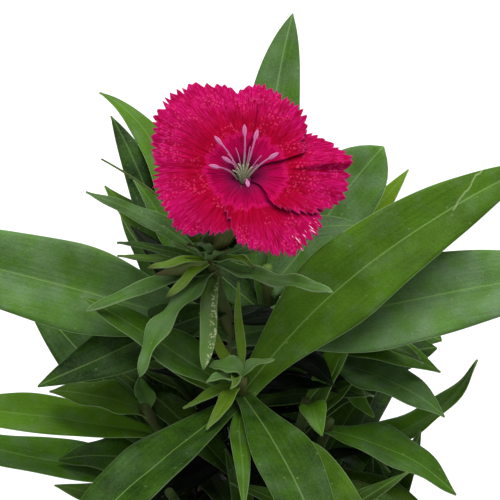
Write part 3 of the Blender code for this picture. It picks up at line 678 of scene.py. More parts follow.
# %% Scales and young leaves
SCALES = {
    "flower_stem": [
        Leaf(1.0, 200, 24, 15, 2.8, 30, look=(1.00, 0.30, 0.30), form="strap", mark="brown"),
        Leaf(1.0, 226, 2, 14, 3.0, 15, look=(0.95, 0.30, 0.35), form="strap", mark="brown"),
        Leaf(1.0, 160, 48, 12, 2.6, 12, look=(0.35, 0.10, 0.10), form="wavy", mark="brown"),
        Leaf(1.0, 228, 60, 13, 4.6, 14, look=(0.30, 0.20, 0.05), form="wavy", mark="brown"),
        Leaf(1.0, 262, 64, 15, 4.8, 10, look=(0.12, 0.10, 0.00), form="wavy", mark="brown"),
        Leaf(1.0, 296, 60, 12, 4.4, 16, look=(0.26, 0.25, 0.05), form="wavy", mark="brown"),
        Leaf(1.0, 332, 56, 14, 4.6, 12, look=(0.10, 0.10, 0.00), form="wavy", mark="brown"),
        Leaf(1.0, 135, 62, 12, 2.6, 14, look=(0.20, 0.10, 0.10), form="wavy", mark="brown"),
        Leaf(1.0, 24, 58, 13, 2.6, 28, look=(0.60, 0.30, 0.15), form="wavy", mark="brown"),
        Leaf(1.0, 330, 44, 12, 2.6, 65, look=(0.45, 0.20, 0.15), form="wavy", mark="brown"),
        Leaf(0.99, 186, -6, 12, 2.4, 30, look=(0.30, 0.10, 0.10), form="wavy", mark="brown"),
        Leaf(0.99, 345, 2, 17, 2.6, 24, look=(0.40, 0.30, 0.05), form="wavy", mark="brown"),
        Leaf(0.97, 72, 46, 22, 6.5, 20, look=(0.14, 0.20, 0.00)),
        Leaf(0.97, 110, 40, 20, 6.0, 20, look=(0.10, 0.20, 0.00)),
        Leaf(1.0, 218, 78, 13, 4.6, -8, look=(0.40, 0.15, 0.15), form="strap", mark="brown"),
        Leaf(1.0, 268, 72, 11, 4.6, -14, look=(0.46, 0.15, 0.20), form="strap", mark="brown"),
        Leaf(1.0, 310, 74, 13, 4.6, -6, look=(0.30, 0.15, 0.10), form="strap", mark="brown"),
    ],
    "shoot_right": [
        Leaf(0.96, 336, 34, 29, 9.0, 46, -8, 6, look=(0.60, 0.10, 0.04)),
        Leaf(0.86, 10, 24, 27, 12.5, 30, 0, 0, look=(0.16, 0.25, 0.00), form="round"),
        Leaf(0.86, 324, 2, 15, 5.0, 45, 0, 10, look=(0.55, 0.25, 0.05), form="curl"),
        Leaf(0.92, 196, 20, 17, 8.5, 30, look=(0.34, 0.05, 0.00)),
    ],
    "shoot_young": [
        Leaf(1.0, 48, 45, 20, 4.8, 15, look=(0.62, 0.15, 0.08)),
    ],
    "shoot_left": [
        Leaf(0.97, 98, 14, 9.5, 4.8, 0, 10, look=(0.85, 0.60, 0.00)),
    ],
    "shoot_centre": [
        Leaf(1.0, 168, 58, 8, 5.0, 85, 10, look=(0.80, 0.60, 0.05), form="curl"),
        Leaf(0.97, 240, 14, 15, 3.6, 36, look=(0.55, 0.00, 0.25)),
        Leaf(0.97, 205, 8, 14, 3.0, 30, look=(0.44, 0.00, 0.15)),
        Leaf(1.0, 250, 42, 7, 2.6, 40, look=(0.50, 0.10, 0.25), form="curl"),
    ],
}
for shoot, scales in SCALES.items():
    grown[shoot] += [(leaf, stem_point(shoot, leaf.height)) for leaf in scales]
print(sum(len(scales) for scales in SCALES.values()), "scales and young leaves")

# %% [markdown]
# ## One blade, bent into every leaf
#
# A dianthus leaf is a thin lance-shaped blade, folded a little along its midrib, with a smooth pale margin. A curve
# modifier could bend it, but could not wave its margins. So one flat blade is modelled from a grid, given its
# thickness, and copied for each leaf, and each copy's points are moved along its leaf's curve. Each copy also gets
# attributes that its material reads: how far each point lies along the blade, from the midrib and from the margin, in
# millimetres, and the leaf's look. Long leaves get a finer grid than short ones.

# %% The flat blade
SMALL_BLADE = (26, 10)
LARGE_BLADE = (64, 16)
LARGE_FROM = 50


def thick_grid(name, rows, columns):
    """A flat strip from 0 to 1 along X and -1 to 1 across Y, with a top at z = 1 and an underside at z = -1"""
    bpy.ops.mesh.primitive_grid_add(x_subdivisions=rows, y_subdivisions=columns, size=2, location=(1, 0, 0))
    strip = bpy.context.object
    strip.name = name
    strip.scale = (0.5, 1, 1)
    strip.location = (0.5, 0, 0)
    bpy.ops.object.transform_apply(location=True, rotation=True, scale=True)
    solidify = strip.modifiers.new("thickness", "SOLIDIFY")
    solidify.thickness = 2
    solidify.offset = 0
    bpy.ops.object.modifier_apply(modifier=solidify.name)
    return strip


def vertex_places(piece):
    """The piece's vertices as rows of x, y and z"""
    places = np.empty(3 * len(piece.data.vertices))
    piece.data.vertices.foreach_get("co", places)
    return places.reshape(-1, 3)


def add_attribute(mesh, name, values):
    """Gives each vertex of a mesh three numbers that its material can read"""
    layer = mesh.attributes.new(name, "FLOAT_VECTOR", "POINT")
    layer.data.foreach_set("vector", np.asarray(values, float).ravel())


def moved_copy(master, name, places, attributes):
    """A copy of the master with its own mesh, its vertices at places in millimetres, and its attributes"""
    mesh = master.data.copy()
    mesh.name = name
    mesh.vertices.foreach_set("co", (np.asarray(places) * MM).ravel())
    for key, values in attributes.items():
        add_attribute(mesh, key, values)
    mesh.update()
    made = bpy.data.objects.new(name, mesh)
    bpy.context.collection.objects.link(made)
    return made


def joined(name, parts):
    """One smooth piece from all the parts"""
    bpy.ops.object.select_all(action="DESELECT")
    for part in parts:
        part.select_set(True)
    bpy.context.view_layer.objects.active = parts[0]
    bpy.ops.object.join()
    piece = bpy.context.object
    piece.name = piece.data.name = name
    bpy.ops.object.shade_smooth()
    bpy.ops.object.select_all(action="DESELECT")
    return piece


small_blade = thick_grid("small_blade", *SMALL_BLADE)
large_blade = thick_grid("large_blade", *LARGE_BLADE)
print("The flat blades have", len(small_blade.data.polygons), "and", len(large_blade.data.polygons), "faces")

# %% [markdown]
# A real leaf is never flat: its margins wave, its middle sways a little, its face is a shallow channel and its
# underside carries a keel. These are sums of a few slow waves, with sizes and phases drawn by lot for each leaf from
# a seed that is its own name, so that no two leaves are alike and each run gives the same plant. A noise texture
# could displace the blade instead, but its bumps would not follow the leaf's length.

# %% The outline of each form of leaf
BRACTS = ("strap", "wavy")
ROUND_TIP = 4.6


def strap_width(along):
    """A bract's half width as a share of its widest: nearly parallel sides and a blunt tip"""
    return 0.8 * min(1.0, 0.5 + 1.7 * along) * (1 - along**6) ** 0.7


def fine_frames(leaf, root, rows):
    """The blade's rows, with the outline of the leaf's own form"""
    frames = leaf_frames(leaf, root, rows)
    if leaf.form == "blade" and leaf.swell == 1.0:
        return frames
    widest = leaf.swell * leaf.width / LEAF_WIDTH_SHARE
    blunt = ROUND_TIP if leaf.form == "round" else leaf.blunt
    made = []
    for i, (place, side, up, _, fold) in enumerate(frames):
        share = strap_width(i / rows) if leaf.form in BRACTS else half_width(i / rows, blunt)
        made.append((place, side, up, max(0.9 * LEAF_TIP, widest * share), fold))
    return made


print("At half its length a bract is", round(100 * strap_width(0.5)), "percent as wide as it is listed")

# %% How a blade is waved
# Sizes in millimetres, but the keel's width, which is a share of the blade's
BLADE_MIDDLE = 0.27  # half its thickness at the midrib
BLADE_EDGE = 0.07  # and at the margin
MOST_WAVE = 0.55
RIPPLE = 0.07
SWAY = 0.35
CHANNEL = 0.14
KEEL = 0.28
KEEL_WIDTH = 0.11
# How much more than a plain blade each form is crumpled and hollowed
CRUMPLE = {"wavy": 2.3, "strap": 1.3, "curl": 1.5}
HOLLOW = {"curl": 2.4, "wavy": 1.5}


def waved(leaf, rng, flat, width, fold):
    """How far each point of a blade lies to its side of the midrib's curve, and how far above it"""
    along, across, layer = flat[:, 0], flat[:, 1], np.sign(flat[:, 2])
    belly = np.sin(math.pi * np.clip(along, 0, 1)) ** 0.6
    crumple = CRUMPLE.get(leaf.form, 1.0)
    # Each margin starts its wave at a place of its own, and has about two waves
    turns = np.where(across > 0, rng.random(), rng.random())
    turns = turns + along * rng.uniform(1.8, 3.0) * (1.4 if crumple > 2 else 1)
    wave = crumple * min(MOST_WAVE, 0.05 * leaf.width) * np.sin(math.tau * turns) * across**2 * belly
    # Two slanting ripples, 13 and 21 mm long
    ripple = np.sin(along * leaf.length / 2.1 + 2.4 * across + rng.uniform(0, 6))
    ripple = RIPPLE * (ripple + np.sin(along * leaf.length / 3.4 - 3.1 * across + rng.uniform(0, 6))) * belly
    sway = SWAY * crumple * np.sin(math.pi * along * rng.uniform(1.3, 2.2)) * belly * rng.choice((-1, 1))
    hollow = HOLLOW.get(leaf.form, 1.0)
    cup = hollow * width * np.sin(fold) * (np.sqrt(across**2 + 0.03) - 0.10) - width * 0.08 * across**4
    half = BLADE_EDGE + (BLADE_MIDDLE - BLADE_EDGE) * (1 - np.abs(across) ** 3)
    keel = np.exp(-((across / KEEL_WIDTH) ** 2)) * (1 - 0.8 * along)
    skin = np.where(layer > 0, half - CHANNEL * keel, -half - KEEL * keel)
    return sway + width * across * np.cos(fold), cup + wave + ripple + skin


print("A blade is", 2 * BLADE_MIDDLE, "mm thick at its midrib and", 2 * BLADE_EDGE, "mm at its margin")

# %% Bending a copy into a leaf
# The old mark is painted shade, which darkens the undergrowth nearly to black
MARKS = ("", "specks", "scratch", "old", "brown")


def leaf_copy(shoot, number, leaf, root):
    """A fine leaf along the leaf's curve, with what its material reads"""
    rng = random.Random(f"{shoot} {number}")
    master, rows = (large_blade, LARGE_BLADE[0]) if leaf.length > LARGE_FROM else (small_blade, SMALL_BLADE[0])
    flat = vertex_places(master)
    row = np.rint(flat[:, 0] * rows).astype(int)
    along, across = flat[:, 0], flat[:, 1]
    frames = fine_frames(leaf, root, rows)
    place, side, up = (np.array([tuple(f[k]) for f in frames])[row] for k in (0, 1, 2))
    width, fold = (np.array([f[k] for f in frames])[row] for k in (3, 4))
    width = np.where(along > 0.985, width * 0.6, width)  # the tip's last row is narrower
    aside, above = waved(leaf, rng, flat, width, fold)
    places = place + side * aside[:, None] + up * above[:, None]
    look = leaf.look or (rng.uniform(0.02, 0.24), rng.uniform(0.0, 0.2), rng.uniform(0.0, 0.05))
    bract = leaf.form in BRACTS
    to_margin = (1 - np.abs(across)) * width * (0.6 if bract else 1.0)
    measures = np.stack([along * leaf.length, across * width, to_margin], 1)
    rib = 0.15 if bract or leaf.form == "curl" else min(1.0, 0.04 * leaf.width + 0.15)
    own = np.tile((rng.uniform(0, 90), MARKS.index(leaf.mark), rib), (len(flat), 1))
    own[:, 1] += 0.9 * along if leaf.mark == "brown" else 0
    return moved_copy(master, "leaf", places, {"blade": measures, "look": np.tile(look, (len(flat), 1)), "own": own})


print("Marks that a leaf may bear:", ", ".join(mark for mark in MARKS if mark))

# %% [markdown]
# ## Leaf and stem surfaces
#
# The leaf is waxy: satin rather than glossy, with a thin grey bloom that is stronger on the older, outer leaves and
# rubbed off in patches. A photograph could be laid over each blade, but it would have to be cut out and smoothed for
# every leaf. Noise in the leaf's own measures gives veins that run along every blade, and noise in space gives
# blotches that no two leaves share.

# %% The leaf's tissue and its bloom
# How often each pattern repeats in a metre. Blotches are about 7 mm across and the bloom's patches 5 mm. Cells are a
# twentieth of a millimetre, and are drawn 0.5 mm across so that they show
BLOTCH_SCALE = 140.0
BLOOM_SCALE = 200.0
CELL_SCALE = 1900.0


def leaf_tissue(tree, place, blade_at, looks, seed):
    """The green tissue under its grey bloom, and its blotches, cells and veins"""
    blotch = node(tree, "TexNoise", {"Vector": place, "Scale": BLOTCH_SCALE, "Detail": 3.0}).outputs["Fac"]
    cells = node(tree, "TexNoise", {"Vector": place, "Scale": CELL_SCALE, "Detail": 2.0}).outputs["Fac"]
    # Veins about 0.8 mm apart that run along the blade
    stretched = node(tree, "VectorMath", {0: blade_at, 1: (0.045, 1.25, 0.0)}, operation="MULTIPLY").outputs[0]
    shifted = node(tree, "VectorMath", {0: stretched, 1: seed}, operation="ADD").outputs[0]
    veins = node(tree, "TexNoise", {"Vector": shifted, "Scale": 1.0, "Detail": 3.0}).outputs["Fac"]
    # The leaf's lightness is partly its own tone and partly painted light and shade, and the patterns below vary it
    light = looks[0]
    for pattern, strength in ((blotch, 0.58), (veins, 0.20), (cells, 0.30)):
        light = node(tree, "Math", {0: pattern, 1: strength, 2: light}, operation="MULTIPLY_ADD").outputs[0]
    light = node(tree, "Math", {0: light, 1: 0.52}, operation="SUBTRACT", use_clamp=True).outputs[0]
    # The bloom is rubbed thin in patches
    cloud = node(tree, "TexNoise", {"Vector": place, "Scale": BLOOM_SCALE, "Detail": 4.0}).outputs["Fac"]
    rubbed = node(tree, "MapRange", {"Value": cloud, "From Min": 0.38, "From Max": 0.68,
                                     "To Min": -0.24, "To Max": 0.34}).outputs[0]
    bloom = node(tree, "Math", {0: looks[1], 1: 0.8, 2: rubbed}, operation="MULTIPLY_ADD", use_clamp=True).outputs[0]
    bare, waxed = (
        node(tree, "Mix", {0: light, 6: hex_colour(dark), 7: hex_colour(pale)}, data_type="RGBA").outputs[2]
        for dark, pale in (("#0a1a03", "#52801c"), ("#162a12", "#6f8c60"))
    )
    tissue = node(tree, "Mix", {0: bloom, 6: bare, 7: waxed}, data_type="RGBA").outputs[2]
    return tissue, blotch, cells, veins


print("Blotches are about", round(1000 / BLOTCH_SCALE), "mm across, the bloom's patches", round(1000 / BLOOM_SCALE))

# %% [markdown]
# Old leaves far inside the tuft look nearly black, because little light gets there. The lamps alone leave them too
# fresh, so the material paints shade on them: it darkens them by their height and by how far in they lie, and the
# undergrowth as a whole by its mark.

# %% How much painted shade a leaf gets
# Painted shade: a leaf low in the tuft, near its middle and behind its front is darkened, as if little light reached it
SHADE_DARKEST_BELOW = 0.105  # metres above the floor: below this a leaf is as dark as its height makes it
SHADE_ENDS_ABOVE = 0.150  # and above this its height doesn't darken it


def painted_tuft_shade(tree, place, mark):
    """The painted shade of a place, from 0 outside the tuft to 1 far inside it, and how well its fine lines still show
    """
    spot = node(tree, "SeparateXYZ", {0: place}).outputs
    low = node(tree, "MapRange", {"Value": spot[2], "From Min": SHADE_DARKEST_BELOW, "From Max": SHADE_ENDS_ABOVE,
                                  "To Min": 0.5, "To Max": 0.0}).outputs[0]
    off_axis = node(tree, "Math", {0: spot[0]}, operation="ABSOLUTE").outputs[0]
    inner = node(tree, "MapRange", {"Value": off_axis, "From Min": 0.022, "From Max": 0.042,
                                    "To Min": 1.0, "To Max": 0.0}).outputs[0]
    behind = node(tree, "MapRange", {"Value": spot[1], "From Min": -0.03, "From Max": -0.008}).outputs[0]
    painted_shade = low
    for share in (inner, behind):
        painted_shade = node(tree, "Math", {0: painted_shade, 1: share}, operation="MULTIPLY").outputs[0]
    # The undergrowth's old mark adds painted shade, which makes it nearly black
    is_undergrowth = node(tree, "Math", {0: mark, 1: float(MARKS.index("old")), 2: 0.1}, operation="COMPARE").outputs[0]
    painted_shade = node(tree, "Math", {0: is_undergrowth, 1: 0.85, 2: painted_shade}, operation="MULTIPLY_ADD", use_clamp=True).outputs[0]
    return painted_shade, node(tree, "Math", {0: 1.0, 1: painted_shade}, operation="SUBTRACT").outputs[0]


print("Leaves darken from", round(1000 * SHADE_ENDS_ABOVE), "mm above the floor down to", round(1000 * SHADE_DARKEST_BELOW), "mm")

# %% [markdown]
# The midrib and the margin are pale lines a fraction of a millimetre wide: the tissue there is thick and horny and
# holds little green. They could be modelled as thin ridges, but a line in the material, drawn in the blade's own
# measures, follows the leaf just as well. Dust, pale specks, one healed scratch and the dry tips of the scales are
# marks of the same kind.

# %% The leaf's lines and marks
MIDRIB_WIDTH = 0.24
MARGIN_WIDTH = 0.20
SCRATCH_AT = 66.5  # millimetres along the blade
SCRATCH_REACH = 5.2
MARK_WIDTH = 0.1  # how far a mark's number may lie off


def leaf_lines(tree, measures, lightness, rib_share, lit):
    """Where the midrib and the margin show: the midrib less on narrow leaves, the margin less on dark ones"""
    off_rib = node(tree, "Math", {0: measures[1]}, operation="ABSOLUTE").outputs[0]
    showing = node(tree, "Math", {0: lightness, 1: 1.6, 2: 0.2}, operation="MULTIPLY_ADD", use_clamp=True).outputs[0]
    # Both lines fade where painted shade darkens the leaf, by the share lit
    lines = []
    for off, near, far, shares in (
        (off_rib, 0.4 * MIDRIB_WIDTH, MIDRIB_WIDTH, (rib_share, lit)),
        (measures[2], 0.3 * MARGIN_WIDTH, MARGIN_WIDTH, (lit, showing)),
    ):
        line = node(tree, "MapRange", {"Value": off, "From Min": near, "From Max": far, "To Min": 0.42, "To Max": 0.0},
                    interpolation_type="SMOOTHSTEP").outputs[0]
        for share in shares:
            line = node(tree, "Math", {0: line, 1: share}, operation="MULTIPLY").outputs[0]
        lines.append(line)
    return lines


def leaf_marks(tree, place, measures, mark):
    """Where dust, pale specks, the scratch and the dry tips show"""
    # Faint pores and dust about 0.4 mm across and 3 mm apart, scattered over every leaf
    dust = node(tree, "TexVoronoi", {"Vector": place, "Scale": 330.0}).outputs["Distance"]
    dust = node(tree, "MapRange", {"Value": dust, "From Min": 0.03, "From Max": 0.12,
                                   "To Min": 0.22, "To Max": 0.0}).outputs[0]
    # Pale specks about 0.5 mm across, on one side of a leaf that has them
    specks = node(tree, "TexVoronoi", {"Vector": place, "Scale": 1500.0}).outputs["Distance"]
    specks = node(tree, "MapRange", {"Value": specks, "From Min": 0.30, "From Max": 0.46,
                                     "To Min": 0.90, "To Max": 0.0}).outputs[0]
    one_side = node(tree, "MapRange", {"Value": measures[1], "From Min": 0.1, "From Max": 0.7}).outputs[0]
    # A healed scratch: a thin pale line that wanders across one leaf near its tip
    wander_at = node(tree, "CombineXYZ", {0: measures[0]}).outputs[0]
    wander = node(tree, "TexNoise", {"Vector": wander_at, "Scale": 0.25}).outputs["Fac"]
    line = node(tree, "Math", {0: measures[0], 1: 0.48, 2: -31.4}, operation="MULTIPLY_ADD").outputs[0]
    line = node(tree, "Math", {0: wander, 1: 3.0, 2: line}, operation="MULTIPLY_ADD").outputs[0]
    off_line = node(tree, "Math", {0: measures[1], 1: line}, operation="SUBTRACT").outputs[0]
    off_line = node(tree, "Math", {0: off_line}, operation="ABSOLUTE").outputs[0]
    scratch = node(tree, "MapRange", {"Value": off_line, "From Min": 0.10, "From Max": 0.30,
                                      "To Min": 0.45, "To Max": 0.0}).outputs[0]
    near_tip = node(tree, "Math", {0: measures[0], 1: SCRATCH_AT, 2: SCRATCH_REACH}, operation="COMPARE").outputs[0]
    found = []
    for shown, where, name in ((specks, one_side, "specks"), (scratch, near_tip, "scratch")):
        number = float(MARKS.index(name))
        bears = node(tree, "Math", {0: mark, 1: number, 2: MARK_WIDTH}, operation="COMPARE").outputs[0]
        shown = node(tree, "Math", {0: shown, 1: where}, operation="MULTIPLY").outputs[0]
        found.append(node(tree, "Math", {0: shown, 1: bears}, operation="MULTIPLY").outputs[0])
    # The dry brown tip of a scale: its mark grows from 4 at the root to 4.9 at the tip
    dry = node(tree, "MapRange", {"Value": mark, "From Min": 4.74, "From Max": 4.89, "To Max": 0.75}).outputs[0]
    return dust, *found, dry


print("The midrib's line fades out", MIDRIB_WIDTH, "mm to each side, the margin's after", MARGIN_WIDTH, "mm")

# %% [markdown]
# The finished leaf is built up like a painting, each colour laid over the ones before it as strongly as its mask
# says. The underside is paler and more matt. Fresh tissue and wax give a broad soft highlight, so the roughness is
# middling, and the index of refraction is plant wax's.


# %% The leaf's material
def leaf_material(name, under):
    """Waxy leaf tissue, darker between the veins, with a pale midrib and margin, and painted shade inside the tuft"""
    made, tree, shader = new_material(name, IOR=1.45, Specular_IOR_Level=0.07)
    blade_at, look, own = (
        node(tree, "Attribute", attribute_name=kind).outputs["Vector"] for kind in ("blade", "look", "own")
    )
    place = node(tree, "TexCoord").outputs["Object"]
    measures, looks, owns = (node(tree, "SeparateXYZ", {0: vector}).outputs for vector in (blade_at, look, own))
    seed = node(tree, "CombineXYZ", {0: owns[0], 1: owns[0]}).outputs[0]
    colour, blotch, cells, veins = leaf_tissue(tree, place, blade_at, looks, seed)
    painted_shade, lit = painted_tuft_shade(tree, place, owns[1])
    rib, margin = leaf_lines(tree, measures, looks[0], owns[2], lit)
    dust, specks, scratch, dry = leaf_marks(tree, place, measures, owns[1])
    layers = [
        (looks[2], "#7d8f1f"),
        # painted shade inside the tuft and on the undergrowth, laid as a near-black green
        (painted_shade, "#040a02"),
        (rib, "#7d9f56"),
        (margin, "#9db57f"),
        (dust, "#94ab74"),
        (specks, "#c9d59a"),
        (scratch, "#9fb07a"),
        (dry, "#3d2f20"),
    ]
    if under:
        layers.append((0.4, "#6f8a5c"))
    for mask, code in layers:
        colour = node(tree, "Mix", {0: mask, 6: colour, 7: hex_colour(code)}, data_type="RGBA").outputs[2]
    smoothest, roughest = (0.62, 0.8) if under else (0.36, 0.56)
    rough = node(tree, "MapRange", {"Value": blotch, "To Min": smoothest, "To Max": roughest}).outputs["Result"]
    relief = node(tree, "Math", {0: cells, 1: 0.7, 2: veins}, operation="MULTIPLY_ADD").outputs[0]
    bump = node(tree, "Bump", {"Height": relief, "Strength": 0.5, "Distance": 0.0003}).outputs["Normal"]
    feed(tree, shader, Base_Color=colour, Roughness=rough, Normal=bump)
    return made


def two_faced(sheet, face, back):
    """Gives a sheet its material for the face and another for its back"""
    sheet.data.materials.append(face)
    sheet.data.materials.append(back)
    for polygon in sheet.data.polygons:
        polygon.material_index = 1 if polygon.normal.z < -0.5 else 0


leaf_face = leaf_material("waxy_leaf_face", False)
leaf_underside = leaf_material("waxy_leaf_underside", True)
for blade in (small_blade, large_blade):
    two_faced(blade, leaf_face, leaf_underside)
print("Leaf surfaces:", leaf_face.name, "and", leaf_underside.name)

# %% [markdown]
# The stem is a juicy green tube whose thin skin shines a little. It turns brown near its joints, and low in the tuft it
# is woody and darkened nearly to black, partly by its own age and partly by painted shade. The calyx and the bud,
# which have the same skin, are paler. Separate materials would break at the seams. One does it all, because an
# attribute tells it how pale and how brown each point is.

# %% The stem's material
# Juicy stem tissue, grown: a soft satin highlight and slight unevenness, in blotches about 4 mm across
stem_skin, tree, shader = new_material("green_stem_skin", Roughness=0.5, IOR=1.42, Specular_IOR_Level=0.2)
place = node(tree, "TexCoord").outputs["Object"]
own = node(tree, "Attribute", attribute_name="own").outputs["Vector"]
pale_share, brown_share, _ = node(tree, "SeparateXYZ", {0: own}).outputs
tint = node(tree, "TexNoise", {"Vector": place, "Scale": 260.0, "Detail": 3.0}).outputs["Fac"]
# Low in the tuft the skin is mixed toward near black: partly the browning of old woody stems, partly painted shade
height = node(tree, "SeparateXYZ", {0: place}).outputs[2]
woody_and_shaded = node(tree, "MapRange", {"Value": height, "From Min": 0.12, "From Max": 0.168,
                                "To Min": 0.85, "To Max": 0.0}).outputs[0]
colour = hex_colour("#2a3b12")
for mask, code in ((tint, "#66803a"), (pale_share, "#8c9c55"), (brown_share, "#4a4127"), (woody_and_shaded, "#120f08")):
    colour = node(tree, "Mix", {0: mask, 6: colour, 7: hex_colour(code)}, data_type="RGBA").outputs[2]
# Fine ribs about 1 mm apart
ribs = node(tree, "TexNoise", {"Vector": place, "Scale": 900.0, "Detail": 2.0}).outputs["Fac"]
bump = node(tree, "Bump", {"Height": ribs, "Strength": 0.4, "Distance": 0.0002}).outputs["Normal"]
feed(tree, shader, Base_Color=colour, Normal=bump)
print("Stem surface:", stem_skin.name)

# %% [markdown]
# ## Stems
#
# Each stem is round, leaves the soil upright and leans outward as it climbs, with a swollen joint where each pair of
# leaves grows. A bevelled curve would give the bend but not the joints. So one straight tube is modelled by extruding
# a circle, and each stem is a bent copy of it with a radius of its own at each height.

# %% The straight tube
TUBE_ROWS = 48
TUBE_SIDES = 12
bpy.ops.mesh.primitive_circle_add(vertices=TUBE_SIDES, radius=1, fill_type="NGON", location=(0, 0, 0))
straight = bpy.context.object
straight.name = "straight_tube"
bpy.ops.object.mode_set(mode="EDIT")
bpy.ops.mesh.select_all(action="SELECT")
for _ in range(TUBE_ROWS):
    bpy.ops.mesh.extrude_region_move(TRANSFORM_OT_translate={"value": (0, 0, 1)})
bpy.ops.mesh.select_all(action="SELECT")
bpy.ops.mesh.normals_make_consistent(inside=False)
bpy.ops.object.mode_set(mode="OBJECT")
straight.scale = (1, 1, 1 / TUBE_ROWS)
bpy.ops.object.transform_apply(location=False, rotation=False, scale=True)
straight.data.materials.append(stem_skin)
print("The straight tube has", len(straight.data.polygons), "faces")


# %% Bending the tube
def tube_copy(name, point, radius, own=None):
    """A bent copy of the tube: point and radius give its middle and its size from 0 to 1 along it"""
    flat = vertex_places(straight)
    places = np.empty_like(flat)
    for i, (x, y, z) in enumerate(flat.tolist()):
        ahead = (point(min(z + 0.01, 1.0)) - point(max(z - 0.01, 0.0))).normalized()
        side = sideways(ahead)
        places[i] = point(z) + radius(z) * (x * side + y * ahead.cross(side))
    shade = [own(z) if own else (0, 0, z) for z in flat[:, 2].tolist()]
    return moved_copy(straight, name, places, {"own": shade})


def bump_at(height, joints, reach):
    """How near a height is to one of the joints, from 1 at a joint to 0 far from it"""
    return max([math.exp(-(((height - joint) / reach) ** 2)) for joint in joints], default=0)


def stem_copy(shoot):
    """The shoot's stem, with its swollen joints"""
    joints = sorted({round(leaf.height, 2) for leaf, _ in grown[shoot]})
    top = stem_point(shoot, 1.0).z
    low = (SOIL_TOP - STEM_DEPTH - top) / (top - SOIL_TOP) + 1

    def height_at(share):
        return low + (1 - low) * share

    def point(share):
        height = height_at(share)
        if height > 0:
            return stem_point(shoot, height)
        return stem_point(shoot, 0) + Vector((0, 0, height * (top - SOIL_TOP)))

    def radius(share):
        height = height_at(share)
        plain = STEM_FOOT_RADIUS + (STEM_TIP_RADIUS - STEM_FOOT_RADIUS) * max(height, 0)
        return plain * (0.92 + 0.3 * bump_at(height, joints, 0.025))

    def own(share):
        return 0, 0.6 * bump_at(height_at(share), joints, 0.03), share

    return tube_copy("stem", point, radius, own)


print("The tallest stem ends", round(max(stem_point(shoot, 1.0).z for shoot in SHOOTS) - SOIL_TOP), "mm above the soil")

# %% Every shoot as one piece
for shoot, leaves in grown.items():
    parts = [leaf_copy(shoot, number, leaf, root) for number, (leaf, root) in enumerate(leaves)]
    parts.append(stem_copy(shoot))
    if shoot == "flower_stem":
        flower_parts = parts
        continue
    piece = joined(shoot + "_leaves", parts)
    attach(piece, "root")
    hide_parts(shoot)
    print(piece.name, len(piece.data.polygons), "faces")

# %% [markdown]
# ## Calyx, bud and awn
#
# The flower's tube stands in a ribbed green cup, the calyx, whose mouth has short pointed teeth. An unopened bud
# grows beside it, and a hair-thin bract tip, an awn, reaches out to the left. Spinning an outline round an axis would
# do for calyx and bud. Extruding a circle from one height to the next gives the same closed shape with rings that
# can be ribbed and notched afterwards, and the awn is a bent copy of the stems' tube.


# %% Turned pieces
def lathe(name, profile, steps, skin):
    """A closed turned piece: a circle extruded and scaled from each (radius, height) in millimetres to the next"""
    radius, height = profile[0]
    bpy.ops.mesh.primitive_circle_add(vertices=steps, radius=radius * MM, fill_type="NOTHING",
                                      location=(0, 0, height * MM))
    piece = bpy.context.object
    bpy.ops.object.transform_apply(location=True)
    piece.name = piece.data.name = name
    bpy.ops.object.mode_set(mode="EDIT")
    bpy.ops.mesh.select_all(action="SELECT")
    bpy.ops.mesh.edge_face_add()
    bpy.ops.mesh.select_all(action="SELECT")
    for wide, high in profile[1:]:
        bpy.ops.mesh.extrude_region_move(TRANSFORM_OT_translate={"value": (0, 0, (high - height) * MM)})
        bpy.ops.transform.resize(value=(wide / radius, wide / radius, 1), center_override=(0, 0, high * MM))
        radius, height = wide, high
    bpy.ops.mesh.select_all(action="SELECT")
    bpy.ops.mesh.normals_make_consistent(inside=False)
    bpy.ops.object.mode_set(mode="OBJECT")
    bpy.ops.object.select_all(action="DESELECT")
    piece.data.materials.append(skin)
    print("Turned the", name, "with", len(piece.data.polygons), "faces")
    return piece


def stood(piece, origin, axis, own):
    """Moves a turned piece's mesh so that its axis stands at origin, both in millimetres, and gives it its attribute"""
    turn = Vector((0, 0, 1)).rotation_difference(axis)
    marks = [own(vertex.co / MM) for vertex in piece.data.vertices]
    for vertex in piece.data.vertices:
        vertex.co = (turn @ (vertex.co / MM) + origin) * MM
    add_attribute(piece.data, "own", marks)


# %% The calyx: a cup with ribs along it and teeth round its mouth
CALYX_LENGTH = 19.0
CALYX_START = 5.0
CALYX_RIBS = 20
RIB_HEIGHT = 0.035  # as a share of the radius
CALYX_TEETH = 5
TOOTH_DEPTH = 2.6
calyx_top = CALYX_START + CALYX_LENGTH
calyx = lathe("calyx", [
    (1.2, -1.5), (1.25, 3.0), (1.3, CALYX_START), (2.3, CALYX_START + 1.2), (2.8, CALYX_START + 4),
    (2.95, CALYX_START + 9), (3.0, calyx_top - 4), (3.0, calyx_top - 1.5), (3.0, calyx_top),
    (2.3, calyx_top), (2.2, calyx_top - 1.5), (2.2, CALYX_START + 4), (0.1, CALYX_START + 3),
], 4 * CALYX_RIBS, stem_skin)
for vertex in calyx.data.vertices:
    angle = math.atan2(vertex.co.y, vertex.co.x)
    high = vertex.co.z / MM
    if high > calyx_top - 0.1:
        vertex.co.z -= TOOTH_DEPTH * MM * abs(math.sin(0.5 * CALYX_TEETH * angle)) ** 0.7
    if CALYX_START + 2 < high and vertex.co.to_2d().length > 2.5 * MM:
        vertex.co.xy *= 1 + RIB_HEIGHT * math.cos(CALYX_RIBS * angle)
neck = THROAT - FLOWER_NECK * TUBE_AXIS
stood(calyx, neck, TUBE_AXIS, lambda p: (0.10, 0.85 - 0.4 * p.z / calyx_top, p.z))

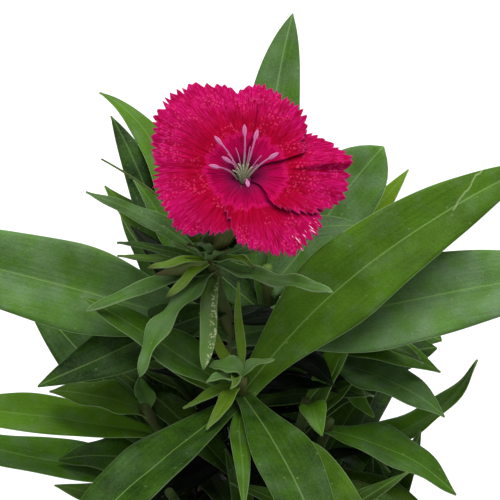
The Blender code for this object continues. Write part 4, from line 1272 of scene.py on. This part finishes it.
# %% The bud and the awn
BUD_AXIS = Vector((-0.95, -0.25, -0.10)).normalized()
BUD_FOLDS = 5
bud = lathe("bud", [
    (0.6, -1), (0.8, 0.5), (1.25, 1.8), (1.55, 3.4), (1.6, 5.2), (1.4, 7.4), (1.05, 9.4), (0.65, 11.2), (0.2, 13.2),
], 30, stem_skin)
for vertex in bud.data.vertices:
    angle = math.atan2(vertex.co.y, vertex.co.x)
    fold = 0.06 * math.cos(BUD_FOLDS * angle + 60 * vertex.co.z)
    vertex.co.xy *= 1 + fold * min(1.0, vertex.co.z / (6 * MM))
stood(bud, neck, BUD_AXIS, lambda p: (0.55, min(1.0, max(0.0, (p.z - 6) / 6)), p.z))
AWN = (neck, Vector((-14.0, 17.0, 198.0)), Vector((-31.9, 22.0, 206.6)))
awn = tube_copy("awn", lambda z: (1 - z) ** 2 * AWN[0] + 2 * z * (1 - z) * AWN[1] + z * z * AWN[2],
                lambda z: 0.46 - 0.26 * z, lambda z: (0, 0.25 * z, z))
piece = joined("flower_stem_leaves", flower_parts + [calyx, bud, awn])
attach(piece, "root")
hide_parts("flower_stem")
print(piece.name, len(piece.data.polygons), "faces")

# %% [markdown]
# ## The flower
#
# Five petals overlap like a pinwheel, each over its neighbour on one side and under it on the other. A petal is a fan
# with a fringed rim, fine radial pleats and a ruffle. A cloth simulation could ruffle it, but would not give the same
# petals each time. One flat strip is modelled with its thickness and bent into each of the five fans. A few
# points give each petal's own rim, uneven teeth are cut into it, as they grow, and its folds are sums of waves.

# %% The petals' shape
PETAL_THICKNESS = 0.32
PETAL_ROWS = 26
TEETH = 24
COLUMNS_PER_TOOTH = 6
FLOWER_REACH = 22.0
CLAW_RADIUS = 1.4
# Each petal's rim, as (degrees round the throat, millimetres from it), and how far its over-lapping edge lifts
PETALS = (
    (((84, 17.0), (98, 19.6), (110, 22.2), (122, 24.3), (136, 24.2), (149, 23.6), (160, 21.6), (172, 20.3),
      (184, 18.0)), 0.3),
    (((24, 13.5), (38, 15.4), (48, 19.6), (55, 20.0), (68, 20.5), (82, 22.4), (92, 21.2), (102, 18.6),
      (114, 16.0)), 0.15),
    (((-52, 10.5), (-37, 15.2), (-24, 18.6), (-10, 21.8), (4, 22.3), (14, 23.0), (25, 21.2), (36, 18.6),
      (50, 16.0)), 1.3),
    (((-116, 10.5), (-103, 13.2), (-94, 17.0), (-80, 18.8), (-68, 20.4), (-58, 21.6), (-46, 21.0), (-33, 20.0),
      (-16, 17.0)), 0.5),
    (((-200, 18.6), (-189, 20.0), (-176, 19.8), (-160, 20.2), (-146, 20.2), (-131, 20.8), (-118, 17.6),
      (-106, 15.6), (-96, 12.5)), 0.2),
)
FOLDED_PETAL = 2
FOLD_AT = 9.0  # degrees round the throat
print(len(PETALS), "petals with", TEETH, "teeth each")


# %% The petal's fringe
def fringe(number):
    """For each column of a petal its share across, and how far the rim is cut back there: sharp uneven teeth"""
    rng = random.Random(20 + number)
    widths = [rng.uniform(0.55, 1.45) for _ in range(TEETH)]
    shares, cuts, done = [0.0], [0.6], 0.0
    depth = rng.uniform(0.7, 1.5)
    for width in widths:
        following = rng.uniform(0.5, 1.9)
        tip = rng.uniform(0.35, 0.65)
        out = rng.uniform(0.0, 0.35)
        for k in range(1, COLUMNS_PER_TOOTH + 1):
            share = k / COLUMNS_PER_TOOTH
            slope = (tip - share) / tip * depth if share < tip else (share - tip) / (1 - tip) * following
            shares.append((done + width * share) / sum(widths))
            cuts.append(out + slope)
        done += width
        depth = following
    return shares, cuts


print("The deepest cut of the first petal's fringe is", round(max(fringe(0)[1]), 1), "mm")


# %% The petal's folds
def petal_height(radius, swing, phase, lift):
    """How far a petal's middle stands out of the flower's face: its bowl, its tilt, its ruffles and its fine pleats"""
    share = radius / FLOWER_REACH
    wide = min(1.0, radius / (0.35 * FLOWER_REACH))
    # The throat sinks by 3 mm, and the petal arches out of it
    height = -3.0 * max(0.0, 1 - radius / 4.5) ** 1.5
    height += 1.6 * math.sin(math.pi * min(1.0, share)) + 1.2 * share**2
    # One edge lies over the next petal and the other under it
    height += wide * (-0.5 * swing + lift * max(0.0, -swing - 0.35) ** 1.3)
    # Ruffles that grow toward the rim, then pleats all the way, then the rim's own droop
    height += 0.5 * share**2 * math.sin(4.2 * swing + 1.0)
    height += 0.50 * share**3 * math.sin(7 * swing + 2 * phase) + 0.16 * share**2 * math.sin(17 * swing + phase)
    height += 0.035 * math.sin(50 * swing + phase) * min(1.0, share * 2)
    return height - 0.5 * max(0.0, share - 0.8) / 0.2 * (0.6 + 0.4 * math.sin(5 * swing + 3 * phase))


print("Half way out a petal stands", round(petal_height(FLOWER_REACH / 2, 0, 0, 0), 1), "mm out of the flower's face")

# %% Bending the strip into a petal
FACE_AXIS = Vector((0.12, -0.34, 0.93)).normalized()


def face_frame():
    """Across, up and out of the flower's face"""
    across = Vector((0, 1, 0)).cross(FACE_AXIS).normalized()
    return across, FACE_AXIS.cross(across), FACE_AXIS


def petal_copy(number):
    """One fringed petal"""
    rims, lift = PETALS[number]
    shares, cuts = fringe(number)
    across, up, out = face_frame()
    flat = vertex_places(fan)
    angles, reaches = [a for a, _ in rims], [r for _, r in rims]
    middle = (angles[0] + angles[-1]) / 2
    places, marks = [], []
    for along, swing, layer in flat.tolist():
        column = round((swing + 1) / 2 * TEETH * COLUMNS_PER_TOOTH)
        swing = 2 * shares[column] - 1
        angle = angles[0] + (angles[-1] - angles[0]) * shares[column]
        rim = float(np.interp(angle, angles, reaches))
        radius = CLAW_RADIUS + (rim - CLAW_RADIUS) * along - cuts[column] * along**8
        height = petal_height(radius, swing, 1.7 * number, lift)
        if number == FOLDED_PETAL:
            # A crease, steep on one side, runs out to the rim
            away = angle - FOLD_AT
            crease = max(0.0, 1 - away / 16) if away > 0 else max(0.0, 1 + away / 1.6)
            height += 1.5 * crease * min(1.0, max(0.0, radius - 9) / 8)
        half = 0.5 * PETAL_THICKNESS * (1 - 0.7 * min(1.0, radius / FLOWER_REACH) ** 4)
        wide = min(1.0, radius / (0.35 * FLOWER_REACH))  # a petal narrows to its claw
        turn = math.radians(middle + (angle - middle) * (0.55 + 0.45 * wide))
        flat_way = across * math.cos(turn) + up * math.sin(turn)
        places.append(THROAT + flat_way * radius + out * (height + (half if layer > 0 else -half)))
        marks.append((radius, turn, max(0.0, rim - cuts[column] - radius)))
    seeds = np.tile((3.7 * number, 0, 0), (len(flat), 1))
    return moved_copy(fan, "petal", [tuple(p) for p in places], {"petal": marks, "own": seeds})


print("The widest petal spans", max(rims[-1][0] - rims[0][0] for rims, _ in PETALS), "degrees")

# %% [markdown]
# ## Petal surfaces
#
# The petal's colour comes in rings. Round the throat a magenta eye is streaked with dark purple. A crimson zone
# with light coral dots follows, and the outer half is magenta pink with fine radial streaks and a pale rim. The
# surface is velvet, because each skin cell is a tiny cone, so it is rough and has a sheen. The rings could be painted
# on an image, but rings made from each point's own distance from the throat stay sharp and follow every ruffle. Noise
# stretched along the radius makes the streaks, and also lets the borders of the rings wander.

# %% The petal's zones
# Where the eye gives way to the crimson zone, and that to the pink one, in millimetres from the throat
EYE_EDGE = (9.4, 10.4)
ZONE_EDGE = (14.5, 22.5)


def petal_streaks(tree, petal_at, own):
    """Streaks that run out from the throat: fine ones, broad ones and the velvet's flecks"""
    streaks = []
    # How often they change per millimetre outward and per radian round, their detail and their roughness. Near the rim
    # they are about 0.7 mm, 3 mm and 0.3 mm wide
    for outward, round_it, detail, rough in ((0.16, 26.0, 3.0, 0.6), (0.07, 6.0, 2.0, 0.5), (0.5, 62.0, 2.0, 0.5)):
        at = node(tree, "VectorMath", {0: petal_at, 1: (outward, round_it, 0.0)}, operation="MULTIPLY").outputs[0]
        at = node(tree, "VectorMath", {0: at, 1: own}, operation="ADD").outputs[0]
        streaks.append(node(tree, "TexNoise", {"Vector": at, "Scale": 1.0, "Detail": detail,
                                               "Roughness": rough}).outputs["Fac"])
    return streaks


def wandered(tree, radius, amounts):
    """The distance from the throat, made to wander by streaks: each one's own amount in millimetres"""
    for streak, amount in amounts:
        radius = node(tree, "Math", {0: streak, 1: amount, 2: radius}, operation="MULTIPLY_ADD").outputs[0]
    return radius


def petal_eye(tree, radius, fine, broad, streaked):
    """Where the eye, about 17 mm across, and the bright ring round it show, and the eye's colour with its streaks"""
    edge = wandered(tree, radius, ((broad, 4.5), (fine, 1.4)))
    edge = node(tree, "Math", {0: edge, 1: 1.6}, operation="SUBTRACT").outputs[0]
    eye = node(tree, "MapRange", {"Value": edge, "From Min": EYE_EDGE[0], "From Max": EYE_EDGE[1],
                                  "To Min": 1.0, "To Max": 0.0}, interpolation_type="SMOOTHSTEP").outputs[0]
    ring = node(tree, "Math", {0: edge, 1: 9.7, 2: 0.55}, operation="COMPARE").outputs[0]
    ring = node(tree, "Math", {0: ring, 1: 0.42}, operation="MULTIPLY").outputs[0]
    dark_from = wandered(tree, radius, ((fine, 7.0),))
    dark = node(tree, "MapRange", {"Value": dark_from, "From Min": 5.5, "From Max": 10.0, "To Min": 0.8, "To Max": 0.0},
                interpolation_type="SMOOTHSTEP").outputs[0]
    colour = hex_colour("#78011f")
    for mask, code in ((streaked, "#9e0446"), (dark, "#5c1038")):
        colour = node(tree, "Mix", {0: mask, 6: colour, 7: hex_colour(code)}, data_type="RGBA").outputs[2]
    return eye, ring, colour


def petal_spots(tree, place):
    """Where deeper blotches about 3 mm across, and patches of light dots about 0.4 mm across, show"""
    noise = node(tree, "TexNoise", {"Vector": place, "Scale": 320.0, "Detail": 2.0}).outputs["Fac"]
    blotch = node(tree, "MapRange", {"Value": noise, "From Min": 0.46, "From Max": 0.66, "To Max": 0.55}).outputs[0]
    dot = node(tree, "TexVoronoi", {"Vector": place, "Scale": 1500.0}).outputs["Distance"]
    dot = node(tree, "MapRange", {"Value": dot, "From Min": 0.24, "From Max": 0.40,
                                  "To Min": 1.0, "To Max": 0.0}).outputs[0]
    noise = node(tree, "TexNoise", {"Vector": place, "Scale": 230.0}).outputs["Fac"]
    patch = node(tree, "MapRange", {"Value": noise, "From Min": 0.47, "From Max": 0.6}).outputs[0]
    for share in (patch, 0.38):
        dot = node(tree, "Math", {0: dot, 1: share}, operation="MULTIPLY").outputs[0]
    return blotch, dot


def petal_flecks(tree, flecks, outer, radius, angle):
    """Where the velvet's lighter hairs show, most on the outer half, and a patch of bleached streaks near one rim"""
    fleck = node(tree, "MapRange", {"Value": flecks, "From Min": 0.48, "From Max": 0.74, "To Max": 0.62}).outputs[0]
    share = node(tree, "Math", {0: outer, 1: 0.82, 2: 0.18}, operation="MULTIPLY_ADD").outputs[0]
    fleck = node(tree, "Math", {0: fleck, 1: share}, operation="MULTIPLY").outputs[0]
    at_angle = node(tree, "Math", {0: angle, 1: -0.76, 2: 0.20}, operation="COMPARE").outputs[0]
    near_rim = node(tree, "Math", {0: radius, 1: 17.2}, operation="GREATER_THAN").outputs[0]
    streak = node(tree, "MapRange", {"Value": flecks, "From Min": 0.60, "From Max": 0.68, "To Max": 0.85}).outputs[0]
    bleach = at_angle
    for share in (near_rim, streak):
        bleach = node(tree, "Math", {0: bleach, 1: share}, operation="MULTIPLY").outputs[0]
    return fleck, bleach


print("Before they wander, the rings' borders lie", sum(EYE_EDGE) / 2, "and", sum(ZONE_EDGE) / 2, "mm out")


# %% The petal's material
def petal_material(name, under):
    """Velvety petal with a magenta eye, a crimson zone and a pink rim"""
    made, tree, shader = new_material(name, IOR=1.4, Specular_IOR_Level=0.02, Sheen_Weight=0.02, Sheen_Roughness=0.45,
                                      Sheen_Tint=hex_colour("#d0207c"))
    petal_at, own = (node(tree, "Attribute", attribute_name=kind).outputs["Vector"] for kind in ("petal", "own"))
    place = node(tree, "TexCoord").outputs["Object"]
    radius, angle, inset = node(tree, "SeparateXYZ", {0: petal_at}).outputs
    fine, broad, flecks = petal_streaks(tree, petal_at, own)
    # The border between the crimson zone and the pink one wanders by about 2 mm
    border = wandered(tree, radius, ((broad, 5.0), (fine, 3.0)))
    outer = node(tree, "MapRange", {"Value": border, "From Min": ZONE_EDGE[0], "From Max": ZONE_EDGE[1]},
                 interpolation_type="SMOOTHSTEP").outputs[0]
    streaked = node(tree, "MapRange", {"Value": fine, "From Min": 0.38, "From Max": 0.60}).outputs[0]
    crimson, pink = (
        node(tree, "Mix", {0: streaked, 6: hex_colour(dark), 7: hex_colour(pale)}, data_type="RGBA").outputs[2]
        for dark, pale in (("#7f0018", "#960128"), ("#8a0230", "#a0054a"))
    )
    blotch, dot = petal_spots(tree, place)
    fleck, bleach = petal_flecks(tree, flecks, outer, radius, angle)
    eye, ring, eye_colour = petal_eye(tree, radius, fine, broad, streaked)
    rim = node(tree, "MapRange", {"Value": inset, "From Min": 0.05, "From Max": 0.4,
                                  "To Min": 0.5, "To Max": 0.0}).outputs[0]
    layers = [
        (outer, pink),
        (blotch, hex_colour("#760018")),
        (dot, hex_colour("#dc3f6c")),
        (fleck, hex_colour("#cb2678")),
        (eye, eye_colour),
        (ring, hex_colour("#b80f54")),
        (rim, hex_colour("#b83a7a")),
        (bleach, hex_colour("#f0cfdc")),
    ]
    if under:
        layers.append((0.55, hex_colour("#b35a85")))
    colour = crimson
    for mask, laid in layers:
        colour = node(tree, "Mix", {0: mask, 6: colour, 7: laid}, data_type="RGBA").outputs[2]
    rough = node(tree, "MapRange", {"Value": broad, "To Min": 0.62, "To Max": 0.85}).outputs["Result"]
    # Velvet cells are a thirtieth of a millimetre, and are drawn 0.4 mm across so that they show
    velvet = node(tree, "TexNoise", {"Vector": place, "Scale": 2600.0}).outputs["Fac"]
    relief = node(tree, "Math", {0: velvet, 1: 0.35, 2: fine}, operation="MULTIPLY_ADD").outputs[0]
    bump = node(tree, "Bump", {"Height": relief, "Strength": 0.3, "Distance": 0.0004}).outputs["Normal"]
    feed(tree, shader, Base_Color=colour, Roughness=rough, Normal=bump)
    return made


petal_face = petal_material("velvet_petal_face", False)
petal_back = petal_material("velvet_petal_back", True)
print("Petal surfaces:", petal_face.name, "and", petal_back.name)

# %% The corolla
CLAW_LENGTH = 14.0
fan = thick_grid("fan", PETAL_ROWS, TEETH * COLUMNS_PER_TOOTH)
two_faced(fan, petal_face, petal_back)
# The petals' narrow claws stand together in the calyx as a short tube
claws = lathe("claws", [
    (1.2, 0), (1.75, 0), (1.75, 6), (1.8, 11), (2.3, 12.4), (1.5, 12.4), (1.2, 11), (1.15, 2), (0.1, 0.6),
], 24, petal_back)
stood(claws, THROAT - CLAW_LENGTH * TUBE_AXIS, TUBE_AXIS, lambda p: (0, 0, p.z))
add_attribute(claws.data, "petal", np.tile((3.0, 0.0, 9.0), (len(claws.data.vertices), 1)))
corolla = joined("corolla_petals", [petal_copy(number) for number in range(len(PETALS))] + [claws])
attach(corolla, "root")
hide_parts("corolla")
print("The corolla has", len(corolla.data.polygons), "faces")

# %% [markdown]
# ## Stamens and styles
#
# Seven slender filaments rise from the tube, pale green at the foot and lilac pink above, and each carries an anther:
# two long pollen sacs side by side with a seam between them, darkened with painted shade. Six bare filaments and six
# curling styles stand between them. Hair particles could make the threads, but not their pollen sacs, so each thread
# is a bent copy of the stems' tube, and each anther is one sphere, stretched and pinched along its middle.

# %% Filament, anther and style surfaces
# A filament is a watery thread: a soft highlight, and a little light passes into it
filament_skin, tree, shader = new_material("filament_skin", Roughness=0.5, Subsurface_Weight=0.15,
                                           Subsurface_Scale=0.001)
own = node(tree, "Attribute", attribute_name="own").outputs["Vector"]
climb = node(tree, "SeparateXYZ", {0: own}).outputs[2]
place = node(tree, "TexCoord").outputs["Object"]
mist = node(tree, "TexNoise", {"Vector": place, "Scale": 900.0}).outputs["Fac"]
climb = node(tree, "Math", {0: mist, 1: 0.3, 2: climb}, operation="MULTIPLY_ADD").outputs[0]
fade = node(tree, "MapRange", {"Value": climb, "From Min": 0.45, "From Max": 0.85},
            interpolation_type="SMOOTHSTEP").outputs[0]
colour = node(tree, "Mix", {0: fade, 6: hex_colour("#a3ad8b"), 7: hex_colour("#b0608f")}, data_type="RGBA").outputs[2]
feed(tree, shader, Base_Color=colour)
# Pollen sacs have a dusty matt skin, with painted shade in the seam. Pollen is 0.05 mm, and is drawn 0.4 mm so that it
# shows
anther_skin, tree, shader = new_material("pollen_sac_skin", Roughness=0.75, Sheen_Weight=0.2)
own = node(tree, "Attribute", attribute_name="own").outputs["Vector"]
seam_shade = node(tree, "SeparateXYZ", {0: own}).outputs[1]
place = node(tree, "TexCoord").outputs["Object"]
pollen = node(tree, "TexNoise", {"Vector": place, "Scale": 2400.0}).outputs["Fac"]
colour = hex_colour("#a84a80")
for mask, code in ((pollen, "#d07fae"), (seam_shade, "#7a2a55")):
    colour = node(tree, "Mix", {0: mask, 6: colour, 7: hex_colour(code)}, data_type="RGBA").outputs[2]
bump = node(tree, "Bump", {"Height": pollen, "Strength": 0.5, "Distance": 0.0001}).outputs["Normal"]
feed(tree, shader, Base_Color=colour, Normal=bump)
print("Thread surfaces:", filament_skin.name, "and", anther_skin.name)

# %% The pollen sacs
# Where each anther ends its filament, in millimetres across, up and out of the flower's face from the throat
ANTHERS = (
    (-6.1, 5.2, 4.0),
    (-1.0, 7.8, 4.5),
    (1.4, 7.2, 4.0),
    (5.0, 2.9, 4.0),
    (-6.5, -0.4, 3.5),
    (-4.2, 0.8, 4.5),
    (0.2, -3.4, 3.5),
)
ANTHER_LENGTH = 2.7
SAC_WIDTH = 0.40
SEAM_WIDTH = 0.22
bpy.ops.mesh.primitive_uv_sphere_add(segments=20, ring_count=12, radius=1)
sac_shape = bpy.context.object
sac_shape.name = "pollen_sacs"
sac_shape.data.materials.append(anther_skin)


def filament_path(x, y, height):
    """A filament's curve from inside the tube to its end"""
    across, up, out = face_frame()
    end = THROAT + across * x + up * y + out * height
    bend = THROAT + 0.3 * (across * x + up * y) + out * (0.75 * height)
    root = THROAT - 4.0 * TUBE_AXIS + 0.06 * (across * x + up * y)
    return lambda z: (1 - z) ** 2 * root + 2 * z * (1 - z) * bend + z * z * end


def anther_copy(x, y, height):
    """Two pollen sacs at the filament's end, in line with it"""
    path = filament_path(x, y, height)
    ahead = (path(1.0) - path(0.8)).normalized()
    side = ahead.cross(FACE_AXIS).normalized()
    up = side.cross(ahead)
    flat = vertex_places(sac_shape)
    width = SAC_WIDTH * (0.55 + 0.45 * np.sqrt(np.clip(1 - flat[:, 2] ** 2, 0, 1)))
    groove = np.exp(-((flat[:, 0] / SEAM_WIDTH) ** 2))
    depth = flat[:, 1] * (1 - 0.45 * groove) * 0.38
    places = [
        path(1.0) + ahead * (0.5 * ANTHER_LENGTH * z + 0.3) + side * (1.15 * w * s) + up * d
        for s, z, w, d in zip(flat[:, 0].tolist(), flat[:, 2].tolist(), width.tolist(), depth.tolist())
    ]
    # The second value marks the seam between the sacs for its painted shade
    marks = np.stack([np.zeros(len(flat)), 0.85 * groove * (np.abs(flat[:, 2]) < 0.9), flat[:, 2]], 1)
    return moved_copy(sac_shape, "anther", [tuple(p) for p in places], {"own": marks})


print("One anther has", len(sac_shape.data.polygons), "faces")

# %% The stamens
BARE_FILAMENTS = ((-4.2, 3.0), (-2.6, 4.6), (0.4, 5.2), (2.9, 3.4), (-3.2, 1.6), (2.2, 1.2))
BARE_HEIGHT = 3.2
STYLES = 6
straight.data.materials.clear()
straight.data.materials.append(filament_skin)
parts = []
for x, y, height in ANTHERS:
    parts.append(tube_copy("filament", filament_path(x, y, height), lambda z: 0.27 - 0.10 * z))
    parts.append(anther_copy(x, y, height))
for x, y in BARE_FILAMENTS:
    parts.append(tube_copy("filament", filament_path(x, y, BARE_HEIGHT), lambda z: 0.20 - 0.12 * z))
for k in range(STYLES):
    lean = math.radians(40 + 28 * k)
    x, y = 2.3 * math.cos(lean) - 0.6, 1.6 * math.sin(lean) - 0.2
    parts.append(tube_copy("style", filament_path(x, y, 2.6 + 0.5 * math.sin(2.3 * k)), lambda z: 0.36 - 0.2 * z,
                           lambda z: (0, 0, 0.35 * z)))
column = tube_copy("column", lambda z: THROAT - (23 - 19.5 * z) * TUBE_AXIS, lambda z: 0.75, lambda z: (0, 0, 0))
stamens = joined("stamens_and_styles", parts + [column])
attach(stamens, "root")
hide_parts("stamens")
print("The stamens have", len(stamens.data.polygons), "faces")

# %% [markdown]
# ## The pot
#
# The pot is a thin injection-moulded nursery pot of black polypropylene: a tapered cup with a wider collar, a rolled
# rim and drain holes. It could be a cylinder with its wall added by a modifier, but a moulded wall changes its
# thickness at the collar and the rim. So it is turned from the whole outline of its wall, with many more steps than
# the solid has, and the holes are cut with a Boolean.

# %% The pot's plastic
# Moulded polypropylene: an even satin black with a film of dust. Its spark-eroded grain is a tenth of a millimetre,
# and is drawn 0.7 mm across so that it shows
plastic, tree, shader = new_material("moulded_polypropylene", IOR=1.49, Specular_IOR_Level=0.35)
place = node(tree, "TexCoord").outputs["Object"]
grain = node(tree, "TexNoise", {"Vector": place, "Scale": 1400.0, "Detail": 2.0}).outputs["Fac"]
film = node(tree, "TexNoise", {"Vector": place, "Scale": 45.0, "Detail": 5.0}).outputs["Fac"]
dusty = node(tree, "MapRange", {"Value": film, "From Min": 0.5, "From Max": 0.8}).outputs["Result"]
shade = node(tree, "Mix", {0: dusty, 6: hex_colour("#141415"), 7: hex_colour("#2b2926")}, data_type="RGBA").outputs[2]
rough = node(tree, "MapRange", {"Value": film, "To Min": 0.36, "To Max": 0.62}).outputs["Result"]
bump = node(tree, "Bump", {"Height": grain, "Strength": 0.25, "Distance": 0.0002}).outputs["Normal"]
feed(tree, shader, Base_Color=shade, Roughness=rough, Normal=bump)
print("Pot surface:", plastic.name)

# %% The pot
POT_BASE_RADIUS = 34.5
POT_WALL = 1.2
POT_FLOOR = 1.7
POT_STEPS = 96
COLLAR_HEIGHT = 14.0
COLLAR_RADIUS = 44.6
DRAIN_HOLES = 6
DRAIN_RADIUS = 3.5
DRAIN_CIRCLE = 22.0  # the radius on which the holes' middles lie
collar = POT_HEIGHT - COLLAR_HEIGHT
pot = lathe("pot_shell", [
    (0.5, 0), (20, 0), (POT_BASE_RADIUS - 1.3, 0), (POT_BASE_RADIUS - 0.4, 0.4), (POT_BASE_RADIUS, 1.3),
    (COLLAR_RADIUS - 2.0, collar - 1.0), (COLLAR_RADIUS - 0.4, collar - 0.2), (COLLAR_RADIUS, collar + 1.0),
    (RIM_RADIUS - 1.9, POT_HEIGHT - 2.8), (RIM_RADIUS - 0.4, POT_HEIGHT - 2.4), (RIM_RADIUS, POT_HEIGHT - 1.8),
    (RIM_RADIUS, POT_HEIGHT - 0.9), (RIM_RADIUS - 0.5, POT_HEIGHT - 0.1), (RIM_RADIUS - 1.4, POT_HEIGHT),
    (RIM_RADIUS - 2.4, POT_HEIGHT - 0.1), (COLLAR_RADIUS + 0.2, POT_HEIGHT - 0.8),
    (COLLAR_RADIUS - POT_WALL, collar + 1.6), (COLLAR_RADIUS - 2.0 - POT_WALL, collar - 0.4),
    (POT_BASE_RADIUS - POT_WALL, POT_FLOOR + 1.2), (POT_BASE_RADIUS - POT_WALL - 1.2, POT_FLOOR),
    (20, POT_FLOOR), (0.5, POT_FLOOR),
], POT_STEPS, plastic)
drills = []
for k in range(DRAIN_HOLES):
    angle = math.tau * (k + 0.5) / DRAIN_HOLES
    middle = (DRAIN_CIRCLE * MM * math.cos(angle), DRAIN_CIRCLE * MM * math.sin(angle), 0)
    bpy.ops.mesh.primitive_cylinder_add(vertices=32, radius=DRAIN_RADIUS * MM, depth=0.01, location=middle)
    bpy.ops.object.transform_apply(location=True)
    drills.append(bpy.context.object)
drill = joined("drill", drills)
cut = pot.modifiers.new("drain_holes", "BOOLEAN")
cut.operation = "DIFFERENCE"
cut.object = drill
bpy.context.view_layer.objects.active = pot
pot.select_set(True)
bpy.ops.object.modifier_apply(modifier=cut.name)
bpy.data.objects.remove(drill)
bpy.ops.object.shade_smooth_by_angle(angle=math.radians(35))
bpy.ops.object.select_all(action="DESELECT")
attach(pot, "root")
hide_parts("pot")
print("The pot has", len(pot.data.polygons), "faces")

# %% [markdown]
# ## The peat
#
# Potting peat is a dark, damp, fibrous crumb, strewn with white perlite, a foamed volcanic glass that keeps it airy.
# A displaced plane would look smooth and has no underside. So the peat is a turned plug, whose top is moved up and
# down in gentle waves, and one crumb is modelled and copied over it, each copy turned, stretched and sized by lot.

# %% Peat and perlite surfaces
# Damp peat: matt, with fibres about 1.6 mm and lumps about 8 mm across
peat, tree, shader = new_material("damp_peat", Roughness=0.92)
place = node(tree, "TexCoord").outputs["Object"]
fibres = node(tree, "TexNoise", {"Vector": place, "Scale": 620.0, "Detail": 6.0, "Roughness": 0.7}).outputs["Fac"]
lumps = node(tree, "TexNoise", {"Vector": place, "Scale": 120.0, "Detail": 3.0}).outputs["Fac"]
mixed = node(tree, "Math", {0: lumps, 1: 0.5, 2: fibres}, operation="MULTIPLY_ADD").outputs[0]
mixed = node(tree, "MapRange", {"Value": mixed, "From Min": 0.55, "From Max": 1.0}).outputs["Result"]
earth = node(tree, "Mix", {0: mixed, 6: hex_colour("#1d130c"), 7: hex_colour("#5b4330")}, data_type="RGBA").outputs[2]
bump = node(tree, "Bump", {"Height": fibres, "Strength": 0.9, "Distance": 0.0008}).outputs["Normal"]
feed(tree, shader, Base_Color=earth, Normal=bump)
# Expanded perlite: matt white and a little dusty, with pores about 0.7 mm across
perlite, tree, shader = new_material("perlite_grain", Roughness=0.85)
place = node(tree, "TexCoord").outputs["Object"]
pores = node(tree, "TexNoise", {"Vector": place, "Scale": 1500.0}).outputs["Fac"]
white = node(tree, "Mix", {0: pores, 6: hex_colour("#b9b2a6"), 7: hex_colour("#efece4")}, data_type="RGBA").outputs[2]
feed(tree, shader, Base_Color=white)
print("Soil surfaces:", peat.name, "and", perlite.name)

# %% The plug of peat
PEAT_RADIUS = 43.1
PEAT_RINGS = (41.5, 39.5, 37, 34.5, 32, 29.5, 27, 24.5, 22, 19.5, 17, 14.5, 12, 9.5, 7, 4.5, 2.0, 0.4)
WAVE_HEIGHT = 0.6
top = SOIL_TOP - 0.3


def waves_at(x, y):
    """The gentle waves of the peat's top, as a share of their height"""
    return math.sin(0.31 * x + 1.0) * math.cos(0.27 * y) + 0.6 * math.sin(0.53 * y - 0.4 * x)


plug = lathe("peat_plug", [
    (0.5, 2.0), (32, 2.0), (33, 3.5), (41.1, collar - 0.4), (43.0, collar + 1.8), (PEAT_RADIUS, top),
    *[(ring, top) for ring in PEAT_RINGS],
], POT_STEPS, peat)
for vertex in plug.data.vertices:
    x, y, z = vertex.co / MM
    if z > top - 0.01:
        rough = math.sin(1.9 * x + 0.7 * y) * math.sin(1.7 * y - 0.5 * x) + math.sin(3.1 * x) * math.sin(2.7 * y + 1)
        rise = WAVE_HEIGHT * waves_at(x, y) + 0.28 * rough
        vertex.co.z += rise * MM * min(1.0, (PEAT_RADIUS - math.hypot(x, y)) / 4)

# %% The crumbs
CRUMBS = 520
PERLITE_EVERY = 14
CRUMB_REACH = 42
CRUMB_SEED = 5
bpy.ops.mesh.primitive_ico_sphere_add(subdivisions=2, radius=1)
crumb = bpy.context.object
for vertex in crumb.data.vertices:
    vertex.co *= 1 + 0.28 * math.sin(7 * vertex.co.x + 5 * vertex.co.z) * math.cos(6 * vertex.co.y + 1)
grains = [plug]
rng = random.Random(CRUMB_SEED)
for k in range(CRUMBS):
    is_perlite = k % PERLITE_EVERY == 0
    reach, angle = CRUMB_REACH * math.sqrt(rng.random()), rng.uniform(0, math.tau)
    x, y = reach * math.cos(angle), reach * math.sin(angle)
    size = rng.uniform(0.9, 1.9) if is_perlite else rng.uniform(0.5, 1.5)
    turn = Vector((rng.uniform(-1, 1), rng.uniform(-1, 1), rng.uniform(-1, 1))).normalized()
    stretch = Vector((1, rng.uniform(0.6, 1), rng.uniform(0.5, 0.9)))
    spin = Vector((0, 0, 1)).rotation_difference(turn)
    middle = Vector((x, y, top + WAVE_HEIGHT * waves_at(x, y) + 0.1 * size))
    places = [tuple(middle + size * (spin @ (v.co * stretch))) for v in crumb.data.vertices]
    grain = moved_copy(crumb, "grain", places, {})
    grain.data.materials.append(perlite if is_perlite else peat)
    grains.append(grain)
soil = joined("peat_and_perlite", grains)
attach(soil, "root")
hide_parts("potting_soil")
print("The peat has", len(soil.data.polygons), "faces")

# %% [markdown] ## Finish  The flat masters were only patterns to copy from, so they are removed.

# %% Clear up and finish
for master in (small_blade, large_blade, straight, fan, sac_shape, crumb):
    bpy.data.objects.remove(master)
dressed_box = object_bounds()
boxes = {"solids": solid_box, "dressed": dressed_box}
for name, box in boxes.items():
    print(name, [round(1000 * value, 1) for value in (*box[0], *box[1])])
